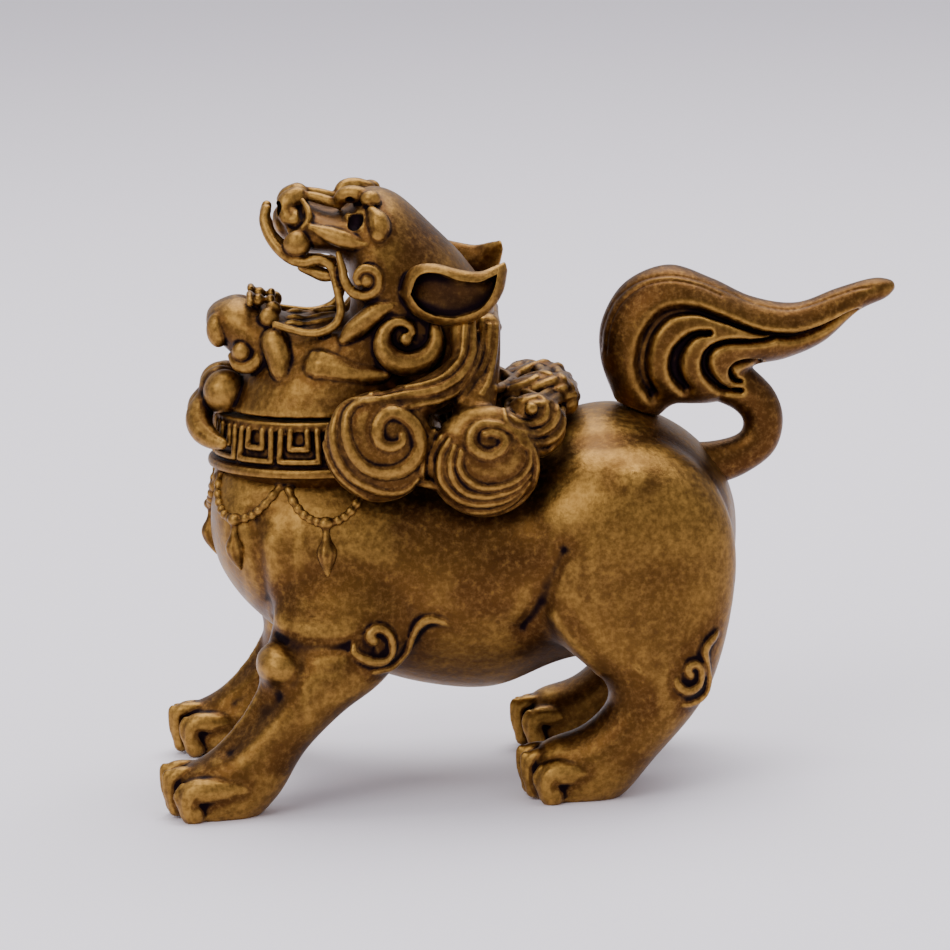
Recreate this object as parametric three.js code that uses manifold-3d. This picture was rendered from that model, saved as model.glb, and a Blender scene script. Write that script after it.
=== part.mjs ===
// A small cast-bronze guardian lion that is an incense burner: a hollow standing body with legs, collar
// and plume tail, and a hollow head with mane that lifts off as the lid. Millimetres, +Z up.
// The lion faces -X. The origin is on the ground, under the middle of the outline.

import * as THREE from 'three';
import { mergeVertices } from 'three/addons/utils/BufferGeometryUtils.js';
import Module from 'manifold-3d';

// Driving dimensions
const WALL = 1.7;             // thickness of the casting
const JOINT_GAP = 0.3;        // clearance between the lid and the body
const SHORT_EDGE = 0.45;      // facet edges below this length are closed up
const FLAT_EDGE = 2.5;        // and below this where the skin is nearly flat

const COLLAR_X = -18.3;       // axis of the collar and of the neck opening
const COLLAR_FOOT = 30.0;     // underside of the collar's lower ring
const COLLAR_TOP = 35.0;      // rim that the head rests on
const RING_RADIUS = 10.4;
const RIM_RADIUS = 9.7;
const NECK_HOLE_RADIUS = 7.7;
const LID_HOLE_RADIUS = 6.7;
const FRET_COUNT = 14;        // square key motifs all round the collar
const FRET_WIDTH = 3.8;
const FRET_HEIGHT = 3.2;
const FRET_BAR = 0.6;
const FRET_DEPTH = 0.9;
const FRET_RELIEF = 0.3;      // how far the keys stand off the band
const SEAT_PLAY = 0.9;        // extra room in the lid's seat for the keys' corners
const SWAG_STEP = 45;         // degrees from one swag to the next
const SWAG_DROP = 3.6;
const CORD_RADIUS = 0.45;
const DROP_LENGTH = 4.6;      // pendant under each swag

const FRONT_TOE_X = -34.45;
const FRONT_PAW_Y = 12.6;
const HIND_TOE_X = -2.2;
const HIND_PAW_Y = 10.4;
const TOES = [                // distance out from the paw's middle, and back from its foremost toe
  [-2.7, 2.3], [-1.05, 0.2], [0.7, 0], [2.4, 1.2],
];
const TOE_HEIGHT = 2.6;
const TOE_SIZE = [1.7, 1.0, 2.4];

const TAIL_Y = 0;
const LOCK_RIDGE = 0.55;      // radius of the raised lines in plume, mane and scrolls

const THROAT_RADIUS = 3.0;    // way out for the smoke between the jaws

const EAR_Y = 9.4;
const EYE_RADIUS = 0.75;
const LIP_RADIUS = 0.5;

const BRONZE = { color: 0x6b4a22, roughness: 0.42, metalness: 1.0 };

// Outlines of the body: upper (or front) edge, lower (or rear) edge, side place and half-width
const TORSO = [
  station([-28.7, 28.4], [-29.0, 23.4], 0, 3.2),
  station([-27.9, 30.6], [-28.0, 20.2], 0, 6.6),
  station([-25.6, 32.0], [-25.6, 16.8], 0, 9.4),
  station([-21.0, 32.8], [-21.5, 13.5], 0, 11.6),
  station([-15.0, 32.8], [-16.0, 11.2], 0, 12.6),
  station([-8.0, 32.0], [-10.0, 9.6], 0, 12.4),
  station([-1.0, 32.2], [-3.6, 9.1], 0, 12.0),
  station([4.0, 33.8], [2.4, 11.2], 0, 12.6),
  station([9.0, 34.2], [8.5, 12.0], 0, 13.2),
  station([14.4, 31.8], [14.6, 12.6], 0, 11.8),
  station([18.0, 28.0], [17.4, 15.4], 0, 8.4),
  station([19.2, 24.6], [18.9, 19.6], 0, 3.4),
];

const FRONT_LEG = [
  station([-23.0, 21.5], [-8.0, 22.0], 8.0, 4.6),
  station([-23.4, 17.0], [-9.6, 16.6], 9.2, 4.7),
  station([-24.7, 12.8], [-13.4, 11.7], 10.7, 4.3),
  station([-25.2, 10.0], [-17.2, 9.0], 11.5, 3.8),
  station([-27.8, 7.2], [-20.8, 5.6], 12.1, 3.3),
  station([-30.2, 5.4], [-23.4, 1.6], 12.5, 3.2),
  station([-31.6, 4.8], [-26.4, -0.8], FRONT_PAW_Y, 3.4),
  station([-32.6, 4.0], [-30.4, -0.6], FRONT_PAW_Y, 3.0),
];

const HIND_LEG = [
  station([3.0, 31.4], [12.6, 31.6], 7.0, 4.6),
  station([-1.4, 26.0], [17.6, 27.0], 8.0, 5.4),
  station([-1.8, 20.0], [18.7, 20.6], 8.6, 5.4),
  station([1.4, 15.0], [17.8, 15.0], 9.2, 4.9),
  station([5.8, 11.2], [16.2, 10.2], 9.8, 4.2),
  station([6.6, 8.8], [14.3, 7.2], 10.0, 3.8),
  station([4.2, 6.4], [11.0, 3.6], 10.2, 3.6),
  station([1.0, 5.4], [6.8, -0.6], HIND_PAW_Y, 3.5),
  station([-0.4, 4.2], [1.6, -0.6], HIND_PAW_Y, 3.1),
];

const TAIL_STEM = [
  station([17.0, 26.4], [14.0, 30.6], TAIL_Y, 2.2),
  station([19.8, 27.6], [17.2, 30.6], TAIL_Y, 1.7),
  station([22.3, 29.5], [19.5, 31.0], TAIL_Y, 1.6),
  station([23.2, 32.2], [20.0, 32.2], TAIL_Y, 1.6),
  station([22.4, 34.8], [19.3, 33.3], TAIL_Y, 1.8),
  station([20.6, 37.6], [17.6, 34.2], TAIL_Y, 2.4),
];

const PLUME = [
  station([8.4, 34.6], [12.4, 33.0], TAIL_Y, 2.2),
  station([7.2, 38.4], [13.8, 34.0], TAIL_Y, 3.3),
  station([7.4, 42.0], [15.6, 34.0], TAIL_Y, 4.0),
  station([9.6, 45.4], [17.2, 34.0], TAIL_Y, 4.3),
  station([13.6, 46.9], [18.6, 34.4], TAIL_Y, 4.3),
  station([17.6, 45.5], [19.8, 35.8], TAIL_Y, 3.9),
  station([21.2, 43.7], [21.2, 37.3], TAIL_Y, 3.2),
  station([25.2, 43.0], [24.2, 37.9], TAIL_Y, 2.6),
  station([29.0, 44.2], [27.6, 39.3], TAIL_Y, 2.2),
  station([32.2, 45.0], [30.8, 42.0], TAIL_Y, 1.7),
  station([33.9, 44.8], [33.3, 43.1], TAIL_Y, 1.1),
  station([34.4, 44.3], [34.3, 43.9], TAIL_Y, 0.5),
];

// Outlines of the head
const SKULL = [
  station([-16.0, 54.0], [-16.4, 49.0], 0, 4.6),
  station([-13.9, 55.0], [-15.6, 46.4], 0, 6.2),
  station([-11.0, 53.8], [-15.8, 42.0], 0, 7.4),
  station([-8.0, 50.6], [-16.6, 38.4], 0, 8.0),
  station([-5.2, 47.2], [-15.4, 36.4], 0, 8.2),
  station([-2.8, 43.4], [-12.0, 35.8], 0, 8.0),
  station([-2.6, 38.8], [-8.0, 33.8], 0, 7.2),
];

const UPPER_JAW = [
  station([-13.0, 54.2], [-15.0, 46.6], 0, 6.0),
  station([-16.4, 53.5], [-16.8, 48.6], 0, 5.9),
  station([-18.4, 53.6], [-19.4, 48.6], 0, 5.2),
  station([-20.6, 54.6], [-21.4, 49.9], 0, 4.2),
  station([-22.4, 54.2], [-23.0, 51.6], 0, 2.9),
  station([-23.2, 53.4], [-23.4, 52.6], 0, 1.4),
];

const LOWER_JAW = [
  station([-14.0, 44.6], [-14.5, 37.0], 0, 7.4),
  station([-17.2, 44.2], [-18.4, 36.8], 0, 7.2),
  station([-20.6, 43.4], [-21.6, 37.8], 0, 6.4),
  station([-23.6, 44.2], [-24.2, 38.2], 0, 5.2),
  station([-26.0, 45.4], [-26.5, 40.2], 0, 4.0),
  station([-27.8, 45.0], [-28.4, 42.6], 0, 2.8),
  station([-28.5, 44.2], [-28.6, 43.2], 0, 1.2),
];

const EAR = [
  station([-11.0, 45.9], [-10.9, 44.8], EAR_Y - 2.0, 0.8),
  station([-9.7, 47.3], [-9.4, 43.8], EAR_Y - 0.9, 1.3),
  station([-8.0, 47.6], [-7.4, 43.2], EAR_Y - 0.2, 1.4),
  station([-6.2, 47.0], [-4.8, 43.5], EAR_Y + 0.3, 1.2),
  station([-4.5, 46.8], [-3.2, 44.6], EAR_Y + 0.5, 1.0),
  station([-2.7, 47.5], [-2.1, 46.0], EAR_Y + 0.5, 0.7),
  station([-1.8, 48.2], [-1.6, 47.8], EAR_Y + 0.4, 0.3),
];

const NECK = [
  station([-27.6, COLLAR_TOP + JOINT_GAP], [-8.8, COLLAR_TOP + JOINT_GAP], 0, 9.4),
  station([-25.8, 38.4], [-6.5, 39.0], 0, 8.8),
  station([-22.0, 42.5], [-5.5, 43.0], 0, 7.4),
];

const BEARD_LOBES = [
  { at: [-27.2, 2.9, 37.3], size: [2.2, 2.2, 2.2] },
  { at: [-28.3, 0.0, 34.6], size: [2.3, 2.7, 1.9] },
  { at: [-25.2, 4.2, 40.5], size: [1.1, 1.1, 1.1] },
  { at: [-27.6, 2.5, 43.2], size: [1.1, 1.1, 1.3] },
];

const FACE_BALLS = [
  { at: [-20.5, 1.3, 54.0], size: [1.6, 1.3, 1.25] },
  { at: [-19.9, 5.2, 50.7], size: [1.2, 1.0, 1.2] },
  { at: [-15.0, 2.9, 54.4], size: [1.9, 2.2, 1.2] },
  { at: [-12.9, 4.2, 53.9], size: [1.0, 1.0, 1.0] },
  { at: [-12.8, 6.3, 52.0], size: [1.0, 0.9, 1.4] },
  { at: [-15.3, 4.9, 52.2], size: [EYE_RADIUS, EYE_RADIUS, EYE_RADIUS] },
  { at: [-14.0, 7.2, 47.0], size: [1.2, 1.0, 1.2] },
  { at: [-22.7, 4.4, 44.6], size: [0.9, 0.9, 1.1] },
];

// Raised ropes of the face: points in [x, y, z] and the radius at each end
const LIP_ROPE = [
  [-23.3, 1.6, 53.2], [-23.2, 2.6, 51.6], [-21.6, 4.2, 49.6], [-19.2, 5.4, 48.4],
  [-17.3, 5.9, 48.7], [-16.7, 6.3, 46.6], [-16.3, 6.7, 44.4], [-16.9, 6.9, 42.6], [-19.4, 6.6, 42.2],
  [-22.4, 5.6, 43.4], [-24.6, 4.4, 45.6],
];
const FLAME_LOBE = [[-12.0, 7.8, 44.9], [-14.2, 8.0, 43.6], [-16.4, 7.9, 41.2]];
const CHEEK_DROP = [[-12.6, 9.0, 38.1], [-15.4, 9.2, 38.6], [-18.0, 8.4, 38.9]];
const CHIN_LOBE = [[-29.6, 2.2, 35.2], [-29.9, 3.4, 33.6], [-29.2, 4.8, 32.4]];
const CRESCENT_LOBE = [[-23.2, 6.4, 41.8], [-22.7, 7.2, 39.8], [-21.6, 7.8, 38.2], [-20.0, 8.4, 37.0]];
const EAR_STRAND = [[-5.4, 8.4, 43.0], [-5.6, 9.4, 39.8], [-8.4, 11.0, 38.0], [-12.4, 12.2, 37.0]];
const NAPE_STRAND = [[-2.9, 6.4, 42.8], [-3.2, 7.8, 39.4], [-3.6, 10.4, 36.4], [-4.2, 12.0, 35.2]];

// Curls of the mane: middle, radius, bulge, and the turns and first angle of the spiral on each
const CURLS = [
  { at: [-13.3, 12.4, 33.2], radius: 5.0, depth: 2.3, turns: 1.6, start: 60 },
  { at: [-3.9, 12.4, 31.6], radius: 5.1, depth: 2.5, turns: 1.6, start: 90 },
  { at: [0.6, 9.4, 34.2], radius: 3.0, depth: 2.6, turns: 1.2, start: 120 },
];
const TOP_LOCK = [[-5.0, 2.4, 36.0], [-1.0, 3.2, 36.2], [2.6, 3.4, 36.2], [4.6, 3.4, 34.6]];

const wasm = await Module();
wasm.setup();

function station(upper, lower, y, half) {
  return { upper, lower, y, half };
}

// Stations moved inwards all round by a thickness, or outwards where it is negative
function inset(stations, thickness) {
  const point = ([x, z]) => new THREE.Vector2(x, z);
  const middleOf = (s) => point(s.upper).add(point(s.lower)).multiplyScalar(0.5);
  const first = middleOf(stations[0]);
  const last = middleOf(stations[stations.length - 1]);
  const along = last.clone().sub(first).normalize();
  const centre = first.clone().add(last).multiplyScalar(0.5);
  const reach = first.distanceTo(last) / 2;
  return stations.map((s) => {
    const share = middleOf(s).sub(centre).dot(along) / reach;
    const inwards = along.clone().multiplyScalar(-thickness * share);
    const across = point(s.upper).sub(point(s.lower)).setLength(thickness);
    const upper = point(s.upper).add(inwards).sub(across);
    const lower = point(s.lower).add(inwards).add(across);
    return station(upper.toArray(), lower.toArray(), s.y, Math.max(s.half - thickness, 0.2));
  });
}

// A closed body from rings of equal count, each ring a list of points, with a fan over both ends
function skin(rings) {
  const sides = rings[0].length;
  const positions = rings.flat().flatMap((p) => [p.x, p.y, p.z]);
  const ends = [rings[0], rings[rings.length - 1]];
  for (const ring of ends) {
    const centre = ring.reduce((sum, p) => sum.add(p), new THREE.Vector3()).divideScalar(sides);
    positions.push(centre.x, centre.y, centre.z);
  }
  const index = [];
  const first = rings.length * sides;
  for (let i = 0; i < rings.length - 1; i += 1) {
    for (let j = 0; j < sides; j += 1) {
      const a = i * sides + j;
      const b = i * sides + ((j + 1) % sides);
      index.push(a, b, a + sides, b, b + sides, a + sides);
    }
  }
  for (let j = 0; j < sides; j += 1) {
    const next = (j + 1) % sides;
    const last = (rings.length - 1) * sides;
    index.push(first, next, j, first + 1, last + j, last + next);
  }
  const geometry = new THREE.BufferGeometry();
  geometry.setAttribute('position', new THREE.Float32BufferAttribute(positions, 3));
  geometry.setIndex(index);
  return geometry;
}

// A body through upright oval rings: the outline of each station, mirrored to a side of the lion
function loft(stations, steps, sides, side = 1) {
  const upper = new THREE.CatmullRomCurve3(
    stations.map((s) => new THREE.Vector3(s.upper[0], side * s.y, s.upper[1])));
  const lower = new THREE.CatmullRomCurve3(
    stations.map((s) => new THREE.Vector3(s.lower[0], side * s.y, s.lower[1])));
  const half = new THREE.CatmullRomCurve3(stations.map((s) => new THREE.Vector3(s.half, 0, 0)));
  const rings = [];
  for (let i = 0; i <= steps; i += 1) {
    const t = i / steps;
    const top = upper.getPoint(t);
    const bottom = lower.getPoint(t);
    const centre = top.clone().add(bottom).multiplyScalar(0.5);
    const rise = top.clone().sub(bottom).multiplyScalar(0.5);
    const width = half.getPoint(t).x;
    const ring = [];
    for (let j = 0; j < sides; j += 1) {
      const angle = (2 * Math.PI * j) / sides;
      const point = centre.clone().addScaledVector(rise, Math.cos(angle));
      point.y += width * Math.sin(angle);
      ring.push(point);
    }
    rings.push(ring);
  }
  return skin(rings);
}

// A round bar along a smooth curve, its radius running from one end's to the other's. A tip of one
// radius' length is rounded off where round is true.
function rope(points, startRadius, endRadius, steps, sides = 5, round = false) {
  const curve = new THREE.CatmullRomCurve3(points.map((p) => new THREE.Vector3(...p)));
  const frames = curve.computeFrenetFrames(steps, false);
  const length = curve.getLength();
  const rings = [];
  for (let i = 0; i <= steps; i += 1) {
    const t = i / steps;
    const centre = curve.getPointAt(t);
    const full = THREE.MathUtils.lerp(startRadius, endRadius, t);
    const fromTip = Math.min(t, 1 - t) * length;
    const nose = Math.max(1 - fromTip / full, 0);
    const radius = round ? full * Math.max(Math.sqrt(1 - nose ** 2), 0.25) : full;
    const ring = [];
    for (let j = 0; j < sides; j += 1) {
      const angle = (2 * Math.PI * j) / sides;
      ring.push(centre.clone()
        .addScaledVector(frames.normals[i], radius * Math.cos(angle))
        .addScaledVector(frames.binormals[i], radius * Math.sin(angle)));
    }
    rings.push(ring);
  }
  return skin(rings);
}

function ball(at, size, around = 8, down = 5) {
  const geometry = new THREE.SphereGeometry(1, around, down);
  geometry.rotateX(Math.PI / 2);
  geometry.scale(...size);
  geometry.translate(...at);
  return geometry;
}

function box(low, high) {
  const size = high.map((value, i) => value - low[i]);
  const geometry = new THREE.BoxGeometry(...size);
  geometry.translate(...low.map((value, i) => value + size[i] / 2));
  return geometry;
}

function lathe(profile, sides) {
  const geometry = new THREE.LatheGeometry(profile.map(([r, z]) => new THREE.Vector2(r, z)), sides);
  geometry.rotateX(Math.PI / 2);
  geometry.translate(COLLAR_X, 0, 0);
  return geometry;
}

// A closed mesh as a solid, turned the right way out where mirroring has turned it inside out
function solid(geometry) {
  const bare = geometry.clone();
  bare.deleteAttribute('normal');
  bare.deleteAttribute('uv');
  const merged = mergeVertices(bare, 1e-4);
  const places = merged.attributes.position.array;
  const corners = [...merged.index.array];
  const corner = (i) => new THREE.Vector3().fromArray(places, corners[i] * 3);
  const triangles = [];
  let volume = 0;
  for (let i = 0; i < corners.length; i += 3) {
    const [a, b, c] = corners.slice(i, i + 3);
    if (a === b || b === c || a === c) continue;
    triangles.push(a, b, c);
    volume += corner(i).dot(corner(i + 1).cross(corner(i + 2)));
  }
  if (volume < 0) triangles.reverse();
  return new wasm.Manifold(new wasm.Mesh({
    numProp: 3,
    vertProperties: new Float32Array(places),
    triVerts: new Uint32Array(triangles),
  }));
}

// Joining leaves many small facets. An edge is closed up into one corner where it is short or lies in a
// nearly flat place, as long as the skin stays closed and no facet there turns over.
function withoutSlivers(shape) {
  const { vertProperties, triVerts } = shape.getMesh();
  const corners = [];
  for (let i = 0; i < vertProperties.length; i += 3) {
    corners.push(new THREE.Vector3().fromArray(vertProperties, i));
  }
  const facets = [];
  for (let i = 0; i < triVerts.length; i += 3) facets.push([...triVerts.slice(i, i + 3)]);
  const around = corners.map(() => new Set());
  facets.forEach((facet, f) => facet.forEach((c) => around[c].add(f)));

  const neighbours = (c) => new Set([...around[c]].flatMap((f) => facets[f]).filter((d) => d !== c));
  const normal = ([a, b, c]) => b.clone().sub(a).cross(c.clone().sub(a));
  const closeUp = (a, b) => {
    const length = corners[a].distanceTo(corners[b]);
    const shared = [...neighbours(a)].filter((c) => neighbours(b).has(c));
    if (shared.length !== 2) return false;
    const meeting = corners[a].clone().add(corners[b]).multiplyScalar(0.5);
    const least = length < SHORT_EDGE ? 0.3 : 0.985;
    const touched = new Set([...around[a], ...around[b]]);
    const gone = [...touched].filter((f) => facets[f].includes(a) && facets[f].includes(b));
    for (const f of touched) {
      if (gone.includes(f)) continue;
      const before = normal(facets[f].map((c) => corners[c]));
      const after = normal(facets[f].map((c) => (c === a || c === b ? meeting : corners[c])));
      if (after.length() < 1e-4) return false;
      if (before.length() > 1e-3 && before.normalize().dot(after.normalize()) < least) return false;
    }
    corners[a].copy(meeting);
    gone.forEach((f) => facets[f].forEach((c) => around[c].delete(f)));
    for (const f of around[b]) {
      facets[f] = facets[f].map((c) => (c === b ? a : c));
      around[a].add(f);
    }
    around[b].clear();
    gone.forEach((f) => { facets[f] = null; });
    return true;
  };

  for (let pass = 0; pass < 4; pass += 1) {
    const edges = facets.filter(Boolean)
      .flatMap(([a, b, c]) => [[a, b], [b, c], [c, a]])
      .filter(([a, b]) => a < b)
      .map(([a, b]) => [a, b, corners[a].distanceTo(corners[b])])
      .filter(([, , length]) => length < FLAT_EDGE)
      .sort((one, other) => one[2] - other[2]);
    for (const [a, b] of edges) {
      if (around[a].size > 0 && around[b].size > 0 && neighbours(a).has(b)) closeUp(a, b);
    }
  }
  const geometry = new THREE.BufferGeometry();
  geometry.setAttribute('position', new THREE.Float32BufferAttribute(corners.flatMap((c) => [...c]), 3));
  geometry.setIndex(facets.filter(Boolean).flat());
  return solid(geometry);
}

const join = (geometries) => geometries.map(solid).reduce((whole, piece) => whole.add(piece));
const mirrored = (point, side) => [point[0], side * point[1], point[2]];
const mirroredAll = (points, side) => points.map((point) => mirrored(point, side));
const bothSides = (make) => [-1, 1].flatMap((side) => make(side));

function mesh(name, shape) {
  const { vertProperties, triVerts } = shape.getMesh();
  const geometry = new THREE.BufferGeometry();
  geometry.setAttribute('position', new THREE.Float32BufferAttribute(vertProperties, 3));
  geometry.setIndex([...triVerts]);
  geometry.computeVertexNormals();
  const made = new THREE.Mesh(geometry, new THREE.MeshStandardMaterial(BRONZE));
  made.name = name;
  return made;
}

// Point of a skin met first by a ray, so that trim follows the round body
function pointOnSkin(target, from, towards) {
  const ray = new THREE.Raycaster(from, towards.clone().normalize());
  return ray.intersectObject(target, false)[0].point;
}

// Body

function bodySkins(grow) {
  const torso = [loft(inset(TORSO, -grow), 20, 16)];
  const legs = bothSides((side) => [
    loft(inset(FRONT_LEG, -grow), 10, 10, side),
    loft(inset(HIND_LEG, -grow), 11, 10, side),
  ]);
  return [...torso, ...legs];
}

const skinTarget = mesh('skin', join(bodySkins(0)));
skinTarget.updateMatrixWorld();

// A place on the chest under the collar: angle from the front, height, and how far it stands off
function onChest(angle, height, lift) {
  const turn = THREE.MathUtils.degToRad(angle);
  const outward = new THREE.Vector3(-Math.cos(turn), Math.sin(turn), 0);
  const from = new THREE.Vector3(COLLAR_X, 0, height).addScaledVector(outward, 30);
  const hit = pointOnSkin(skinTarget, from, outward.clone().negate());
  return hit.addScaledVector(outward, lift).toArray();
}

function onFlank(x, z, side, lift) {
  const hit = pointOnSkin(skinTarget, new THREE.Vector3(x, side * 40, z), new THREE.Vector3(0, -side, 0));
  hit.y += side * lift;
  return hit.toArray();
}

// The band under the neck, swollen outwards and raised where it cuts the lid's seat
function collarBand(out, up) {
  return lathe([
    [0, COLLAR_FOOT - 4], [RING_RADIUS - 1.5, COLLAR_FOOT - 4], [RING_RADIUS - 0.3 + out, COLLAR_FOOT],
    [RING_RADIUS + 0.35 + out, COLLAR_FOOT + 0.5], [RING_RADIUS + out, COLLAR_FOOT + 1],
    [RIM_RADIUS - 0.2 + out, COLLAR_TOP - 0.5], [RIM_RADIUS + out, COLLAR_TOP + up],
    [0, COLLAR_TOP + up],
  ], 24);
}

// Swags from the collar's ring, each with a drop at its lowest point
function swags(grow) {
  return [-2, -1, 0, 1, 2].flatMap((place) => {
    const middle = place * SWAG_STEP;
    const cord = [-1, -0.6, 0, 0.6, 1].map((u) => onChest(
      middle + (u * SWAG_STEP) / 2, COLLAR_FOOT - 0.2 - SWAG_DROP * (1 - u * u), 0));
    const drop = [0, 0.5, 1].map((u) => onChest(
      middle, COLLAR_FOOT - SWAG_DROP - u * DROP_LENGTH, 0.1));
    return [
      rope(cord, CORD_RADIUS + grow, CORD_RADIUS + grow, 5, 4),
      rope(drop, CORD_RADIUS * 0.8 + grow, CORD_RADIUS * 1.5 + grow, 2, 4),
      ball(drop[2], [0.9 + grow, 0.9 + grow, 1.3 + grow], 5, 3),
    ];
  });
}

// One square key on the band: an open bar around three sides, and a tongue from above inside it
function fretKey(angle) {
  const half = FRET_WIDTH / 2;
  const bar = half - FRET_BAR;
  const tongue = bar - FRET_BAR;
  const outline = [
    [-half, 0], [half, 0], [half, FRET_HEIGHT], [bar, FRET_HEIGHT], [bar, FRET_BAR], [-bar, FRET_BAR],
    [-bar, FRET_HEIGHT - FRET_BAR], [-tongue, FRET_HEIGHT - FRET_BAR], [-tongue, 2 * FRET_BAR],
    [tongue, 2 * FRET_BAR], [tongue, FRET_HEIGHT], [-half, FRET_HEIGHT],
  ];
  const shape = new THREE.Shape(outline.map(([y, z]) => new THREE.Vector2(y, z)));
  return new THREE.ExtrudeGeometry(shape, { depth: FRET_DEPTH, bevelEnabled: false })
    .rotateX(Math.PI / 2)
    .rotateZ(Math.PI / 2)
    .translate((RING_RADIUS + RIM_RADIUS) / 2 + FRET_RELIEF - FRET_DEPTH, 0, COLLAR_FOOT + 1.3)
    .rotateZ(Math.PI - THREE.MathUtils.degToRad(angle))
    .translate(COLLAR_X, 0, 0);
}

function paw(foremost, middle, side) {
  return TOES.map(([out, back]) => {
    const x = foremost + back + TOE_SIZE[0];
    return ball([x, side * (middle - out), TOE_HEIGHT], TOE_SIZE, 6, 5);
  });
}

// A flat spiral with a tail, lying on the flank
function flankScroll(centre, tail, side) {
  const turns = [0, 70, 140, 210, 280].map((degrees) => {
    const turn = THREE.MathUtils.degToRad(degrees);
    const radius = 2.0 - degrees / 400;
    return [centre[0] + radius * Math.cos(turn), centre[1] - radius * Math.sin(turn)];
  });
  const path = [...tail, ...turns].map(([x, z]) => onFlank(x, z, side, 0));
  return [
    rope(path, LOCK_RIDGE, LOCK_RIDGE * 1.4, 11, 3),
    ball(onFlank(centre[0], centre[1], side, 0), [0.9, 0.9, 0.9], 5, 3),
  ];
}

// Raised locks on each side of the plume, from its root around the curl to its tip
function plumeLocks(side) {
  const outer = [[14.6, 35.2], [12.0, 37.0], [12.2, 40.6], [15.0, 42.6], [19.0, 41.6], [23.0, 40.6]];
  const inner = [[19.0, 35.6], [16.0, 36.4], [15.4, 38.6], [17.4, 40.2], [20.6, 39.6], [24.0, 40.0]];
  const across = (x) => THREE.MathUtils.mapLinear(x, 12, 24, 4.0, 2.5);
  const path = (points) => points.map(([x, z]) => [x, TAIL_Y + side * across(x), z]);
  return [
    rope(path(outer), 1.1, 0.5, 9, 3),
    rope(path(inner), 1.0, 0.5, 8, 3),
    ball([19.4, TAIL_Y + side * 3.1, 37.4], [1.6, 0.8, 1.6], 6, 4),
  ];
}

function bodyVessel() {
  const frets = [-4, -3, -2, -1, 0, 1, 2, 3, 4].map((i) => fretKey((360 / FRET_COUNT) * i));
  const outer = withoutSlivers(join([
    ...bodySkins(0),
    collarBand(0, 0),
    ...swags(0),
    ...frets,
    loft(TAIL_STEM, 8, 7),
    loft(PLUME, 16, 10),
    ...bothSides((side) => [
      ...paw(FRONT_TOE_X, FRONT_PAW_Y, side),
      ...paw(HIND_TOE_X, HIND_PAW_Y, side),
      ...flankScroll([-14.2, 15.2], [[-7.4, 17.6], [-9.0, 17.4], [-10.6, 16.4], [-12.2, 14.0]], side),
      ...flankScroll([14.2, 11.6], [[16.4, 16.0], [15.6, 14.6], [15.9, 13.2]], side),
      ...plumeLocks(side),
    ]),
  ]));
  const chamber = join([
    loft(inset(TORSO, WALL), 14, 12),
    lathe([[0, COLLAR_FOOT - 3], [NECK_HOLE_RADIUS, COLLAR_FOOT - 3],
      [NECK_HOLE_RADIUS, COLLAR_TOP + 2], [0, COLLAR_TOP + 2]], 18),
  ]);
  const ground = solid(box([-60, -40, -10], [60, 40, 0]));
  return outer.subtract(chamber).subtract(ground);
}

// Head

// A domed spiral curl that faces outwards
function maneCurl({ at, radius, depth, turns, start }, side) {
  const count = 7 * turns + 1;
  const path = [...Array(Math.round(count)).keys()].map((i) => {
    const share = i / (count - 1);
    const turn = THREE.MathUtils.degToRad(start + 360 * turns * share);
    const reach = radius * THREE.MathUtils.lerp(0.88, 0.22, share);
    const dome = depth * Math.sqrt(1 - (reach / radius) ** 2);
    return [at[0] + reach * Math.cos(turn), side * (at[1] + dome), at[2] + reach * Math.sin(turn)];
  });
  return [
    ball(mirrored(at, side), [radius, depth, radius], 11, 5),
    rope(path, LOCK_RIDGE * 1.6, LOCK_RIDGE * 1.6, 11, 3),
  ];
}

function cheekSpiral(side) {
  const path = [...Array(9).keys()].map((i) => {
    const turn = THREE.MathUtils.degToRad(-60 - 55 * i);
    const reach = 2.5 - 0.22 * i;
    return [-10.7 + reach * Math.cos(turn), side * (8.4 + 0.1 * i), 41.6 + reach * Math.sin(turn)];
  });
  return [rope(path, 0.7, 0.8, 9, 3), ball([-10.7, side * 8.0, 41.6], [2.4, 1.2, 2.4], 7, 4)];
}

function ear(side) {
  const shell = solid(loft(EAR, 8, 8, side));
  const dish = solid(ball([-6.8, side * (EAR_Y + 1.5), 45.3], [3.2, 1.2, 1.5], 8, 5));
  return shell.subtract(dish);
}

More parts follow.
